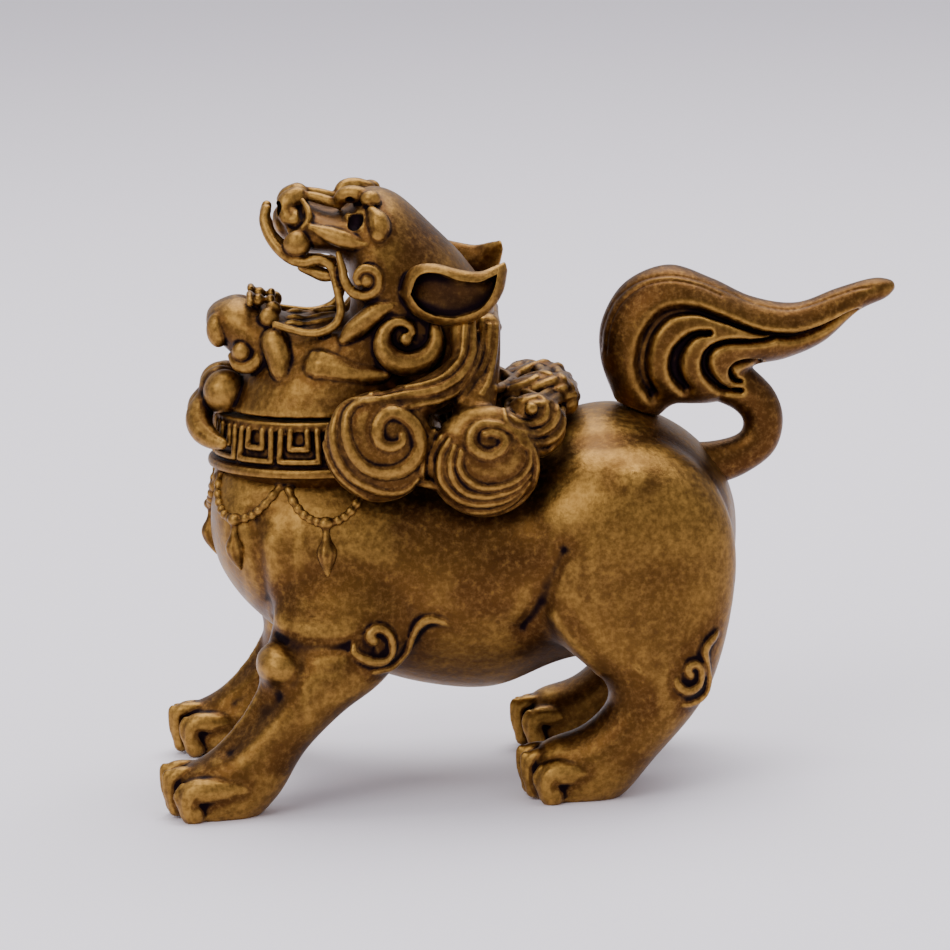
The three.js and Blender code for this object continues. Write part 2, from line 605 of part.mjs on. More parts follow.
function headLid() {
  const forms = withoutSlivers(join([
    loft(NECK, 2, 16),
    loft(SKULL, 8, 14),
    loft(UPPER_JAW, 7, 10),
    loft(LOWER_JAW, 7, 10),
    ...bothSides((side) => [
      ...FACE_BALLS.map(({ at, size }) => ball(mirrored(at, side), size, 6, 4)),
      ...BEARD_LOBES.map(({ at, size }) => ball(mirrored(at, side), size, 7, 5)),
      rope(mirroredAll(LIP_ROPE, side), LIP_RADIUS * 1.2, LIP_RADIUS * 1.2, 13, 3),
      rope(mirroredAll(FLAME_LOBE, side), 0.8, 1.1, 5, 5, true),
      rope(mirroredAll(CHEEK_DROP, side), 0.7, 1.8, 5, 6, true),
      rope(mirroredAll(CRESCENT_LOBE, side), 0.8, 1.1, 5, 5, true),
      rope(mirroredAll(CHIN_LOBE, side), 1.3, 0.8, 4, 6, true),
      rope(mirroredAll(EAR_STRAND, side), 1.4, 2.2, 5, 6),
      rope(mirroredAll(NAPE_STRAND, side), 1.4, 2.2, 5, 6),
      rope(mirroredAll(TOP_LOCK, side), 2.3, 1.9, 6, 7, true),
      ...cheekSpiral(side),
      ...CURLS.flatMap((curl) => maneCurl(curl, side)),
    ]),
  ]));
  const hollow = join([
    loft(inset(NECK, WALL), 2, 12),
    loft(inset(SKULL.slice(1, 6), WALL + 0.4), 5, 10),
    lathe([[0, COLLAR_TOP - 4], [LID_HOLE_RADIUS, COLLAR_TOP - 4],
      [LID_HOLE_RADIUS, COLLAR_TOP + 2.6], [0, COLLAR_TOP + 2.6]], 16),
    rope([[-26.0, 0, 48.6], [-19.0, 0, 46.2], [-13.0, 0, 45.4]], THROAT_RADIUS, THROAT_RADIUS, 4, 8),
  ]);
  const seat = join([
    ...bodySkins(JOINT_GAP + FRET_RELIEF / 2),
    collarBand(JOINT_GAP + SEAT_PLAY, JOINT_GAP),
    ...swags(JOINT_GAP),
  ]);
  const ears = bothSides((side) => [ear(side)]).reduce((whole, piece) => whole.add(piece));
  return forms.add(ears).subtract(hollow).subtract(seat);
}

const lion = new THREE.Group();
lion.add(mesh('body_vessel', bodyVessel()));
lion.add(mesh('head_lid', headLid()));

export default lion;
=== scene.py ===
"""Looks of a small cast-bronze guardian lion that is an incense burner: a hollow body, and a head that
lifts off as the lid. Shapes are modelled in millimetres and turned to metres when a piece is finished."""
import math

import bpy
import numpy as np
from mathutils import Matrix, Vector
from mathutils.bvhtree import BVHTree


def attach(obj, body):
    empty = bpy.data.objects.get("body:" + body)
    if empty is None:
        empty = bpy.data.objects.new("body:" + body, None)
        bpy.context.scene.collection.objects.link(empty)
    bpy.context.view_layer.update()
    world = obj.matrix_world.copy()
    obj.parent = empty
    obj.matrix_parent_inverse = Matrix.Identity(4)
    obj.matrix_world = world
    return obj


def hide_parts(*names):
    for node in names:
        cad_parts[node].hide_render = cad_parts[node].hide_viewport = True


bl_info = {
    "name": "Guardian Lion Incense Burner",
    "version": (1, 0, 0),
    "blender": (4, 5, 0),
    "location": "View3D > Sidebar > Lion",
    "description": "Models a cast-bronze guardian lion with a lift-off head on its packed frame",
    "category": "Object",
}

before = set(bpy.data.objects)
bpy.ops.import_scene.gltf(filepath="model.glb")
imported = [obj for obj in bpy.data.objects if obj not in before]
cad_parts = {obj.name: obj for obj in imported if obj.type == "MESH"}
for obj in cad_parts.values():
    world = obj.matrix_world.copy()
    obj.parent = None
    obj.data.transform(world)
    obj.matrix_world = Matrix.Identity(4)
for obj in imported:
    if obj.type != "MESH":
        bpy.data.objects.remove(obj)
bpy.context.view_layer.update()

# Where the lion is looked at from: angles in degrees, lengths in millimetres
AIM = np.array([-4.6, 0.0, 28.0])
EYE_HEIGHT, EYE_TURN, EYE_ROLL = (math.radians(a) for a in (10.5, 1.0, 1.8))
EYE_DISTANCE = 489.0
LENS = 202.0
TO_EYE = np.array([
    -math.sin(EYE_TURN) * math.cos(EYE_HEIGHT),
    -math.cos(EYE_TURN) * math.cos(EYE_HEIGHT),
    math.sin(EYE_HEIGHT),
])
EYE = AIM + EYE_DISTANCE * TO_EYE

# Sizes of the casting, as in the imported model
WALL = 1.7
JOINT_GAP = 0.3
COLLAR_X = -18.3
COLLAR_FOOT = 30.0
COLLAR_TOP = 35.0
RING_RADIUS = 10.4
RIM_RADIUS = 9.7
NECK_HOLE_RADIUS = 7.7
LID_HOLE_RADIUS = 6.7
THROAT_RADIUS = 3.0
KEY_COUNT = 14
SWAG_STEP = 45

# Sections of the lofted forms: upper or front edge x, z; lower or rear edge x, z; side place; half-width
TORSO = [
    (-28.7, 28.4, -29.0, 23.4, 0, 3.2), (-27.9, 30.6, -28.0, 20.2, 0, 6.6),
    (-25.6, 32.0, -25.6, 16.8, 0, 9.4), (-21.0, 32.8, -21.5, 13.5, 0, 11.6),
    (-15.0, 32.8, -16.0, 11.0, 0, 12.6), (-8.0, 32.0, -10.0, 9.0, 0, 12.4),
    (-1.0, 32.2, -3.6, 8.4, 0, 12.0), (4.0, 33.8, 2.4, 10.6, 0, 12.6),
    (9.0, 34.2, 8.5, 12.0, 0, 13.2), (14.4, 31.8, 14.6, 12.6, 0, 11.8),
    (18.0, 28.0, 17.4, 15.4, 0, 8.4), (19.2, 24.6, 18.9, 19.6, 0, 3.4),
]
FRONT_LEG = [
    (-23.0, 21.5, -8.0, 22.0, 8.0, 4.6), (-23.4, 17.0, -9.6, 16.6, 9.2, 4.7),
    (-24.7, 12.8, -13.4, 11.7, 10.7, 4.3), (-25.2, 10.0, -17.2, 9.0, 11.5, 3.8),
    (-27.8, 7.2, -20.8, 5.6, 12.1, 3.3), (-30.2, 5.4, -23.4, 1.6, 12.5, 3.2),
    (-31.6, 4.8, -26.4, -0.8, 12.6, 3.4), (-32.6, 4.0, -30.4, -0.6, 12.6, 3.0),
]
HIND_LEG = [
    (5.4, 32.6, 9.8, 32.8, 4.4, 1.6), (2.6, 31.0, 13.4, 31.2, 6.0, 4.0),
    (-0.4, 28.0, 16.4, 28.6, 7.4, 5.2), (-1.6, 24.4, 18.2, 25.0, 8.2, 5.5),
    (-1.8, 20.0, 18.7, 20.6, 8.6, 5.4), (1.4, 15.0, 17.8, 15.0, 9.2, 4.9),
    (5.8, 11.2, 16.2, 10.2, 9.8, 4.2), (6.6, 8.8, 14.3, 7.2, 10.0, 3.8),
    (4.2, 6.4, 11.0, 3.6, 10.2, 3.6), (1.0, 5.4, 6.8, -0.6, 10.4, 3.5),
    (-0.4, 4.2, 1.6, -0.6, 10.4, 3.1),
]
TAIL_STEM = [
    (17.0, 26.2, 14.0, 30.4, 0, 2.2), (20.2, 27.3, 17.2, 30.4, 0, 1.8),
    (22.9, 29.3, 19.6, 31.0, 0, 1.7), (23.8, 32.2, 20.1, 32.2, 0, 1.7),
    (23.0, 35.0, 19.3, 33.3, 0, 1.9), (20.6, 37.6, 17.6, 34.2, 0, 2.4),
]
PLUME = [
    (8.4, 34.6, 12.4, 33.0, 0, 2.2), (7.2, 38.4, 13.8, 34.0, 0, 3.3),
    (7.4, 42.0, 15.6, 34.0, 0, 4.0), (9.6, 45.4, 17.2, 34.0, 0, 4.3),
    (13.6, 46.9, 18.6, 34.4, 0, 4.3), (17.6, 45.5, 19.8, 35.8, 0, 3.9),
    (21.2, 43.7, 21.2, 37.3, 0, 3.2), (25.2, 43.0, 24.2, 37.9, 0, 2.6),
    (29.0, 44.2, 27.6, 39.3, 0, 2.2), (32.2, 45.0, 30.8, 42.0, 0, 1.7),
    (33.9, 44.8, 33.3, 43.1, 0, 1.1), (34.3, 44.3, 34.2, 43.9, 0, 0.5),
]
SKULL = [
    (-15.6, 53.2, -16.0, 49.4, 0, 4.2), (-13.7, 54.9, -15.6, 46.4, 0, 6.0),
    (-11.0, 54.3, -15.8, 42.0, 0, 7.2), (-7.9, 51.4, -16.6, 38.4, 0, 7.8),
    (-4.9, 48.1, -15.4, 36.4, 0, 8.0), (-2.5, 44.0, -12.0, 35.8, 0, 8.0),
    (-2.4, 38.8, -8.0, 33.8, 0, 7.2),
]
UPPER_JAW = [
    (-13.0, 54.0, -15.0, 46.8, 0, 5.9), (-16.4, 53.2, -16.8, 48.9, 0, 5.5),
    (-18.4, 53.7, -19.3, 49.2, 0, 4.8), (-20.2, 54.2, -21.0, 50.2, 0, 3.8),
    (-21.6, 53.6, -22.0, 51.2, 0, 2.7), (-22.2, 53.0, -22.3, 52.0, 0, 1.2),
]
LOWER_JAW = [
    (-14.0, 44.2, -14.5, 37.0, 0, 7.3), (-17.2, 43.9, -18.4, 36.8, 0, 7.1),
    (-20.6, 43.4, -21.6, 37.8, 0, 6.2), (-23.4, 44.6, -24.2, 38.2, 0, 5.0),
    (-25.6, 45.5, -26.5, 40.2, 0, 3.9), (-27.7, 44.9, -28.4, 42.2, 0, 2.7),
    (-28.6, 44.0, -28.7, 43.0, 0, 1.2),
]
NECK = [
    (-27.6, 35.3, -8.8, 35.3, 0, 9.4), (-25.8, 38.4, -6.5, 39.0, 0, 8.8),
    (-22.0, 42.5, -5.5, 43.0, 0, 7.4),
]
EAR = [
    (-10.9, 46.6, -10.8, 45.6, 7.0, 0.9), (-9.9, 48.5, -9.7, 44.2, 7.9, 1.4),
    (-8.0, 49.0, -7.6, 43.4, 8.7, 1.5), (-5.6, 48.4, -5.2, 43.4, 9.0, 1.3),
    (-3.8, 48.1, -3.0, 44.4, 8.6, 1.1), (-2.5, 48.4, -1.7, 46.0, 7.8, 0.8),
    (-1.4, 48.7, -1.2, 47.8, 6.9, 0.35),
]


# Small tools

def clear():
    bpy.ops.object.select_all(action="DESELECT")


def only(piece):
    clear()
    piece.select_set(True)
    bpy.context.view_layer.objects.active = piece


def points_of(piece):
    flat = np.empty(len(piece.data.vertices) * 3, np.float32)
    piece.data.vertices.foreach_get("co", flat)
    return flat.reshape(-1, 3).astype(float)


def normals_of(piece):
    flat = np.empty(len(piece.data.vertices) * 3, np.float32)
    piece.data.vertex_normals.foreach_get("vector", flat)
    return flat.reshape(-1, 3).astype(float)


def place(piece, points):
    piece.data.vertices.foreach_set("co", points.astype(np.float32).ravel())
    piece.data.update()


def apply(piece, kind, **settings):
    only(piece)
    modifier = piece.modifiers.new(kind.lower(), kind)
    for name, value in settings.items():
        setattr(modifier, name, value)
    bpy.ops.object.modifier_apply(modifier=modifier.name)
    return piece


def curve_at(rows, t):
    """Rows of numbers read at fractional places on a smooth curve through them."""
    rows = np.asarray(rows, float)
    first = 2 * rows[0] - rows[1]
    last = 2 * rows[-1] - rows[-2]
    padded = np.vstack([first, rows, last])
    i = np.clip(np.floor(t).astype(int), 0, len(rows) - 2)
    f = (t - i)[:, None]
    a, b, c, d = (padded[i + k] for k in range(4))
    return 0.5 * (2 * b + (c - a) * f + (2 * a - 5 * b + 4 * c - d) * f ** 2
                  + (3 * b - a - 3 * c + d) * f ** 3)


def spaced(rows, step=0.3):
    """Rows resampled along the smooth curve through them, about one step apart."""
    rows = np.asarray(rows, float)
    reach = np.linalg.norm(np.diff(rows[:, :2], axis=0), axis=1).sum()
    count = max(int(reach / step), 4)
    fine = curve_at(rows, np.linspace(0, len(rows) - 1, 12 * len(rows)))
    run = np.concatenate([[0], np.cumsum(np.linalg.norm(np.diff(fine[:, :2], axis=0), axis=1))])
    at = np.linspace(0, run[-1], count + 1)
    return np.column_stack([np.interp(at, run, column) for column in fine.T])


# Solid forms

def loft(sections, side=1, around=40, along=56):
    """A sphere wrapped on upright oval sections from the first to the last."""
    clear()
    bpy.ops.mesh.primitive_uv_sphere_add(segments=around, ring_count=along)
    piece = bpy.context.object
    unit = points_of(piece)
    row = np.rint(np.arccos(np.clip(unit[:, 2], -1, 1)) / math.pi * along)
    turn = np.arctan2(unit[:, 1], unit[:, 0])
    t = np.clip((row - 1) / (along - 2), 0, 1) * (len(sections) - 1)
    ux, uz, lx, lz, y, half = curve_at(sections, t).T
    reach = np.where((row == 0) | (row == along), 0.0, 1.0)
    rise = reach * np.cos(turn)
    place(piece, np.column_stack([
        (ux + lx) / 2 + rise * (ux - lx) / 2,
        side * y + reach * np.sin(turn) * half,
        (uz + lz) / 2 + rise * (uz - lz) / 2,
    ]))
    return piece


def inset(sections, thickness):
    rows = np.array(sections, float)
    middle = (rows[:, 0:2] + rows[:, 2:4]) / 2
    run = middle[-1] - middle[0]
    reach = np.linalg.norm(run) / 2
    along = run / (2 * reach)
    share = (middle - (middle[0] + middle[-1]) / 2) @ along / reach
    inwards = -thickness * share[:, None] * along
    across = rows[:, 0:2] - rows[:, 2:4]
    across *= thickness / np.linalg.norm(across, axis=1)[:, None]
    rows[:, 0:2] += inwards - across
    rows[:, 2:4] += inwards + across
    rows[:, 5] = np.maximum(rows[:, 5] - thickness, 0.2)
    return rows


def ball(at, size, turn=(0, 0, 0), segments=24, rings=16):
    clear()
    if not hasattr(size, "__len__"):
        size = (size, size, size)
    bpy.ops.mesh.primitive_uv_sphere_add(
        segments=segments, ring_count=rings, radius=1, location=at, scale=size,
        rotation=[math.radians(a) for a in turn])
    bpy.ops.object.transform_apply(location=True, rotation=True, scale=True)
    return bpy.context.object


def drum(radius, low, high, around=96):
    clear()
    bpy.ops.mesh.primitive_cylinder_add(
        vertices=around, radius=radius, depth=high - low, location=(COLLAR_X, 0, (low + high) / 2))
    bpy.ops.object.transform_apply(location=True, rotation=True, scale=True)
    return bpy.context.object


def turned(profile, around=160):
    """A ring turned on the collar's axis from a closed outline of radius and height."""
    clear()
    rows = len(profile)
    bpy.ops.mesh.primitive_torus_add(
        major_segments=around, minor_segments=rows, major_radius=2, minor_radius=1,
        location=(0, 0, 0))
    piece = bpy.context.object
    unit = points_of(piece)
    turn = np.arctan2(unit[:, 1], unit[:, 0])
    spot = np.arctan2(unit[:, 2], np.hypot(unit[:, 0], unit[:, 1]) - 2)
    row = np.rint(spot / (2 * math.pi) * rows).astype(int) % rows
    radius, height = np.array(profile, float)[row].T
    place(piece, np.column_stack([
        COLLAR_X + radius * np.cos(turn), radius * np.sin(turn), height]))
    only(piece)
    bpy.ops.object.mode_set(mode="EDIT")
    bpy.ops.mesh.select_all(action="SELECT")
    bpy.ops.mesh.normals_make_consistent(inside=False)
    bpy.ops.object.mode_set(mode="OBJECT")
    return piece


def rounded(path):
    """A path of x, y, z, radius whose two ends get a round nose."""
    path = np.asarray(path, float)
    out = [path]
    for end, inner, first in ((path[0], path[1], True), (path[-1], path[-2], False)):
        away = end[:3] - inner[:3]
        away /= max(np.linalg.norm(away), 1e-9)
        nose = np.array([
            [*(end[:3] + away * end[3] * math.sin(a)), end[3] * math.cos(a)]
            for a in (0.5, 0.95, 1.3, 1.5)])
        out = [nose[::-1], *out] if first else [*out, nose]
    return np.vstack(out)


def bars(paths, sides=3):
    """Round bars of changing thickness, one along each path of x, y, z, radius."""
    clear()
    bpy.ops.curve.primitive_bezier_curve_add()
    piece = bpy.context.object
    data = piece.data
    data.splines.clear()
    data.dimensions = "3D"
    data.bevel_depth = 1
    data.bevel_resolution = sides
    data.use_fill_caps = True
    for path in paths:
        path = rounded(path)
        spline = data.splines.new("POLY")
        spline.points.add(len(path) - 1)
        spline.points.foreach_set("co", np.column_stack([path[:, :3], np.ones(len(path))]).ravel())
        spline.points.foreach_set("radius", path[:, 3])
    bpy.ops.object.convert(target="MESH")
    return bpy.context.object


def run_of(points, step=0.4):
    """A bar's path through points of x, y, z, radius."""
    rows = np.asarray(points, float)
    reach = np.linalg.norm(np.diff(rows[:, :3], axis=0), axis=1).sum()
    count = max(int(reach / step), 6)
    return curve_at(rows, np.linspace(0, len(rows) - 1, count))


def mirrored(path):
    return np.asarray(path, float) * ([1, -1, 1] + [1] * (len(path[0]) - 3))


def both(paths):
    return [side for path in paths for side in (np.asarray(path, float), mirrored(path))]


def fuse(parts, voxel, steps=2, share=0.5):
    """Parts cast into one closed skin, then rubbed smooth."""
    clear()
    for part in parts:
        part.select_set(True)
    bpy.context.view_layer.objects.active = parts[0]
    if len(parts) > 1:
        bpy.ops.object.join()
    piece = parts[0]
    apply(piece, "REMESH", mode="VOXEL", voxel_size=voxel, adaptivity=0)
    if steps:
        apply(piece, "SMOOTH", factor=share, iterations=steps)
    return piece


def copy_of(piece):
    only(piece)
    bpy.ops.object.duplicate()
    return bpy.context.object


def carve(piece, cutter):
    only(piece)
    modifier = piece.modifiers.new("carve", "BOOLEAN")
    modifier.operation = "DIFFERENCE"
    modifier.solver = "MANIFOLD"
    modifier.object = cutter
    bpy.ops.object.modifier_apply(modifier="carve")
    bpy.data.objects.remove(cutter)
    return piece


def tree_of(piece):
    return BVHTree.FromObject(piece, bpy.context.evaluated_depsgraph_get())


# Trim laid where it is seen

def lay(tree, line, sink=0.3, step=0.3):
    """A bar's path on a skin: each place x, z of the lion's middle plane is followed along the line of
    sight to the skin on the near side. The bar's middle lies a share of its radius under the skin."""
    rows = spaced(line, step)
    found = []
    for x, z, radius in rows:
        towards = np.array([x, 0.0, z]) - EYE
        towards /= np.linalg.norm(towards)
        hit, normal, _, _ = tree.ray_cast(Vector(EYE), Vector(towards))
        if hit is None:
            spots = [EYE + towards * (EYE_DISTANCE + s) for s in np.linspace(-16, 16, 17)]
            near = [(tree.find_nearest(Vector(s)), s) for s in spots]
            (hit, normal, _, _), _ = min(near, key=lambda pair: pair[0][3])
        found.append([*hit, *normal, radius])
    found = np.array(found)
    away = np.linalg.norm(found[:, :3] - EYE, axis=1)
    even = away.copy()
    for _ in range(3):
        even[1:-1] = (even[:-2] + 2 * even[1:-1] + even[2:]) / 4
        found[1:-1, 3:6] = (found[:-2, 3:6] + 2 * found[1:-1, 3:6] + found[2:, 3:6]) / 4
    towards = (found[:, :3] - EYE) / away[:, None]
    normal = found[:, 3:6] / np.linalg.norm(found[:, 3:6], axis=1)[:, None]
    at = EYE + towards * even[:, None] - normal * found[:, 6:7] * sink
    return np.column_stack([at, found[:, 6]])


def laid(tree, lines, sink=0.3):
    return both([lay(tree, line, sink) for line in lines])


def seen(points):
    """Where points of either side are seen from the near side, as x, z in the middle plane."""
    near = points.copy()
    near[:, 1] = -np.abs(near[:, 1])
    share = EYE[1] / (EYE[1] - near[:, 1])
    spots = EYE + (near - EYE) * share[:, None]
    return spots[:, [0, 2]]


def press(piece, lines, depth, edge=4, facing=(0.1, 0.4)):
    """Channels of x, z, half-width pressed into both flanks, along the skin's own normals."""
    points = points_of(piece)
    normals = normals_of(piece)
    spots = seen(points)
    share = np.zeros(len(points))
    for line in lines:
        rows = spaced(line, 0.15)
        low = rows[:, :2].min(0) - 2.5
        high = rows[:, :2].max(0) + 2.5
        close = np.flatnonzero(((spots > low) & (spots < high)).all(1))
        for chunk in np.array_split(close, max(len(close) // 20000, 1)):
            gap = np.linalg.norm(spots[chunk, None, :] - rows[None, :, :2], axis=2)
            nearest = gap.argmin(1)
            off = gap[np.arange(len(chunk)), nearest] / rows[nearest, 2]
            share[chunk] = np.maximum(share[chunk], 1 / (1 + off ** edge))
    side = np.clip((np.abs(normals[:, 1]) - facing[0]) / (facing[1] - facing[0]), 0, 1)
    place(piece, points - normals * (depth * share * side)[:, None])
    return piece


# Patina, with painted shade in the hollows and a painted highlight on the ridges

def edges_of(piece):
    flat = np.empty(len(piece.data.edges) * 2, np.int32)
    piece.data.edges.foreach_get("vertices", flat)
    return flat.reshape(-1, 2)


def averaged(values, edges, count, steps):
    degree = np.bincount(edges.ravel(), minlength=count)[:, None]
    for _ in range(steps):
        total = np.column_stack([
            np.bincount(edges[:, 0], values[edges[:, 1], k], count)
            + np.bincount(edges[:, 1], values[edges[:, 0], k], count)
            for k in range(values.shape[1])])
        values = 0.4 * values + 0.6 * total / np.maximum(degree, 1)
    return values


def note_hollows(piece, fine=6, broad=40):
    """Two numbers on each vertex: how deep it lies in a crevice, to be darkened with patina and painted shade, and
    how far it stands out, to be rubbed and given a painted highlight.
    """
    points = points_of(piece)
    normals = normals_of(piece)
    edges = edges_of(piece)
    count = len(points)
    close = averaged(points, edges, count, fine)
    wide = averaged(close, edges, count, broad)
    near = ((close - points) * normals).sum(1)
    far = ((wide - points) * normals).sum(1)
    smooth = averaged(np.column_stack([near, far]), edges, count, 2)
    for name, values in (("hollow_fine", smooth[:, 0]), ("hollow_broad", smooth[:, 1])):
        layer = piece.data.attributes.new(name, "FLOAT", "POINT")
        layer.data.foreach_set("value", values.astype(np.float32))


def colour(hex_code):
    channels = [int(hex_code[i:i + 2], 16) / 255 for i in (1, 3, 5)]
    return tuple(c / 12.92 if c <= 0.04045 else ((c + 0.055) / 1.055) ** 2.4 for c in channels) + (1,)


def node(tree, kind, settings=None, inputs=None):
    """Adds a node, sets its properties and fills its sockets with values or links."""
    made = tree.nodes.new(kind)
    for name, value in (settings or {}).items():
        setattr(made, name, value)
    for name, value in (inputs or {}).items():
        socket = made.inputs[name]
        if isinstance(value, bpy.types.NodeSocket):
            tree.links.new(value, socket)
        else:
            socket.default_value = value
    return made


def ramp(made, stops):
    elements = made.color_ramp.elements
    while len(elements) > len(stops):
        elements.remove(elements[-1])
    while len(elements) < len(stops):
        elements.new(1.0)
    for element, (at, shade) in zip(elements, stops):
        element.position = at
        element.color = colour(shade)
    return made


def per_mm(size):
    """The scale of a pattern in metres whose features are size millimetres across."""
    return 1000.0 / size


def patinated_bronze(name, look):
    """Cast bronze with a chemical brown patina: olive brown and mottled where it lies smooth, rubbed back
    to brassy metal on the ridges with a painted highlight there, nearly black with a violet cast in the hollows as
    dark patina and painted shade."""
    material = bpy.data.materials.new(name)
    material.use_nodes = True
    tree = material.node_tree
    tree.nodes.clear()
    spot = node(tree, "ShaderNodeTexCoord").outputs["Object"]

    mottle = node(tree, "ShaderNodeTexNoise", inputs={
        "Vector": spot, "Scale": per_mm(0.55), "Detail": 5.0, "Roughness": 0.65})
    cloud = node(tree, "ShaderNodeTexNoise", inputs={
        "Vector": spot, "Scale": per_mm(6.0), "Detail": 2.0, "Roughness": 0.5})
    speck = node(tree, "ShaderNodeTexNoise", inputs={
        "Vector": spot, "Scale": per_mm(0.22), "Detail": 2.0, "Roughness": 0.5})

    skin = ramp(node(tree, "ShaderNodeValToRGB", inputs={"Fac": mottle.outputs["Fac"]}), [
        (0.30, "#3C2412"), (0.46, look["shade"]), (0.56, look["skin"]), (0.72, look["gold"])])
    deep = ramp(node(tree, "ShaderNodeValToRGB", inputs={"Fac": cloud.outputs["Fac"]}), [
        (0.30, "#4A2F18"), (0.70, "#7A5728")])
    body = node(tree, "ShaderNodeMix", {"data_type": "RGBA", "blend_type": "MIX"}, {
        "Factor": 0.35, "A": skin.outputs["Color"], "B": deep.outputs["Color"]})

    fine = node(tree, "ShaderNodeAttribute", {"attribute_name": "hollow_fine"}).outputs["Fac"]
    broad = node(tree, "ShaderNodeAttribute", {"attribute_name": "hollow_broad"}).outputs["Fac"]

    # hollows in metres: positive inside a crevice, negative on a ridge
    crease = node(tree, "ShaderNodeMapRange", {"interpolation_type": "SMOOTHSTEP"}, {
        "Value": fine, "From Min": 0.000004, "From Max": 0.000030, "To Min": 0.0, "To Max": 1.0})
    valley = node(tree, "ShaderNodeMapRange", {"interpolation_type": "SMOOTHSTEP"}, {
        "Value": broad, "From Min": 0.00004, "From Max": 0.00026, "To Min": 0.0, "To Max": 1.0})
    # Painted shade with real dark patina: crevices and broad valleys turn towards the near-black hollow colour
    hollow_patina_and_shade = node(tree, "ShaderNodeMath", {"operation": "MAXIMUM"}, {
        0: crease.outputs["Result"], 1: valley.outputs["Result"]})
    # Painted highlight with real rubbed wear: ridges and edges turn towards the pale ridge colour
    ridge = node(tree, "ShaderNodeMapRange", {"interpolation_type": "SMOOTHSTEP"}, {
        "Value": broad, "From Min": -0.00004, "From Max": -0.00030, "To Min": 0.0, "To Max": 1.0})
    edge = node(tree, "ShaderNodeMapRange", {"interpolation_type": "SMOOTHSTEP"}, {
        "Value": fine, "From Min": -0.000004, "From Max": -0.000030, "To Min": 0.0, "To Max": 1.0})
    rub_and_highlight = node(tree, "ShaderNodeMath", {"operation": "MAXIMUM"}, {
        0: ridge.outputs["Result"], 1: edge.outputs["Result"]})
    uneven = node(tree, "ShaderNodeMapRange", inputs={
        "Value": mottle.outputs["Fac"], "From Min": 0.35, "From Max": 0.65, "To Min": 0.35, "To Max": 1.0})
    wear_and_highlight = node(tree, "ShaderNodeMath", {"operation": "MULTIPLY"}, {
        0: rub_and_highlight.outputs["Value"], 1: uneven.outputs["Result"]})

    # The ridges' rubbed wear and painted highlight mixed into the colour
    rubbed = node(tree, "ShaderNodeMix", {"data_type": "RGBA"}, {
        "Factor": wear_and_highlight.outputs["Value"], "A": body.outputs["Result"], "B": colour(look["wear_and_highlight"])})
    # The hollows' dark patina and painted shade mixed into the colour
    patina_and_shade_filled = node(tree, "ShaderNodeMix", {"data_type": "RGBA"}, {
        "Factor": hollow_patina_and_shade.outputs["Value"], "A": rubbed.outputs["Result"], "B": colour(look["hollow"])})

    dull = node(tree, "ShaderNodeMapRange", inputs={
        "Value": mottle.outputs["Fac"], "From Min": 0.3, "From Max": 0.7, "To Min": 0.34, "To Max": 0.5})
    gloss = node(tree, "ShaderNodeMath", {"operation": "MULTIPLY_ADD", "use_clamp": True}, {
        0: hollow_patina_and_shade.outputs["Value"], 1: 0.15, 2: dull.outputs["Result"]})
    grit = node(tree, "ShaderNodeBump", inputs={
        "Strength": 0.25, "Distance": 0.00004, "Height": speck.outputs["Fac"]})
    waves = node(tree, "ShaderNodeBump", inputs={
        "Strength": 0.35, "Distance": 0.00012, "Height": mottle.outputs["Fac"],
        "Normal": grit.outputs["Normal"]})

    shader = node(tree, "ShaderNodeBsdfPrincipled", inputs={
        "Base Color": patina_and_shade_filled.outputs["Result"], "Metallic": 1.0,
        "Roughness": gloss.outputs["Value"], "Normal": waves.outputs["Normal"]})
    node(tree, "ShaderNodeOutputMaterial", inputs={"Surface": shader.outputs["BSDF"]})
    return material


def finish_piece(piece, name, nodes, material, most=195000):
    """Thins the mesh to its limit, turns it to metres, gives it its finish and hangs it on the frame."""
    triangles = sum(len(p.vertices) - 2 for p in piece.data.polygons)
    if triangles > most:
        apply(piece, "DECIMATE", ratio=most / triangles)
    place(piece, points_of(piece) * 0.001)
    note_hollows(piece)
    only(piece)
    bpy.ops.object.shade_smooth()
    piece.name = name
    piece.data.name = name
    piece.data.materials.clear()
    piece.data.materials.append(material)
    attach(piece, "root")
    for cad_node in nodes:
        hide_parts(cad_node)
    size = sum(len(p.vertices) - 2 for p in piece.data.polygons)
    print(f"{name}: {size} triangles")
    return piece


def look_of(settings):
    return {key: getattr(settings, key) for key in ("skin", "shade", "gold", "wear_and_highlight", "hollow")}


# Lines of relief, as x, z of the middle plane where they are seen, and the bar's radius

PLUME_CHANNELS = [
    [(11.9, 34.7, 0.5), (11.0, 36.2, 0.62), (10.8, 37.8, 0.66), (11.1, 39.4, 0.66), (11.8, 41.0, 0.62),
     (13.1, 42.3, 0.58), (14.7, 42.7, 0.5), (16.4, 42.6, 0.42), (17.9, 42.0, 0.36), (19.4, 41.4, 0.3),
     (21.1, 40.6, 0.26), (22.6, 40.1, 0.28), (24.7, 39.7, 0.4), (26.0, 39.8, 0.4), (27.3, 40.2, 0.34),
     (28.6, 40.8, 0.26), (29.9, 41.5, 0.2), (30.9, 42.0, 0.12)],
    [(15.0, 35.1, 0.4), (14.3, 36.1, 0.52), (14.0, 37.4, 0.58), (14.3, 38.7, 0.55), (15.1, 39.7, 0.42),
     (16.0, 40.3, 0.3), (17.3, 40.4, 0.22)],
    [(20.0, 34.9, 0.2), (18.5, 35.0, 0.3), (17.5, 35.8, 0.36), (16.9, 36.8, 0.38), (16.9, 38.0, 0.36),
     (17.5, 38.9, 0.3), (18.6, 39.4, 0.24), (19.8, 39.5, 0.22), (21.1, 39.4, 0.22), (22.5, 39.5, 0.25),
     (23.3, 39.8, 0.25)],
    [(21.8, 37.5, 0.16), (20.5, 37.5, 0.2), (19.6, 37.2, 0.22), (19.25, 36.6, 0.22), (19.5, 36.0, 0.18),
     (20.1, 35.9, 0.12)],
]
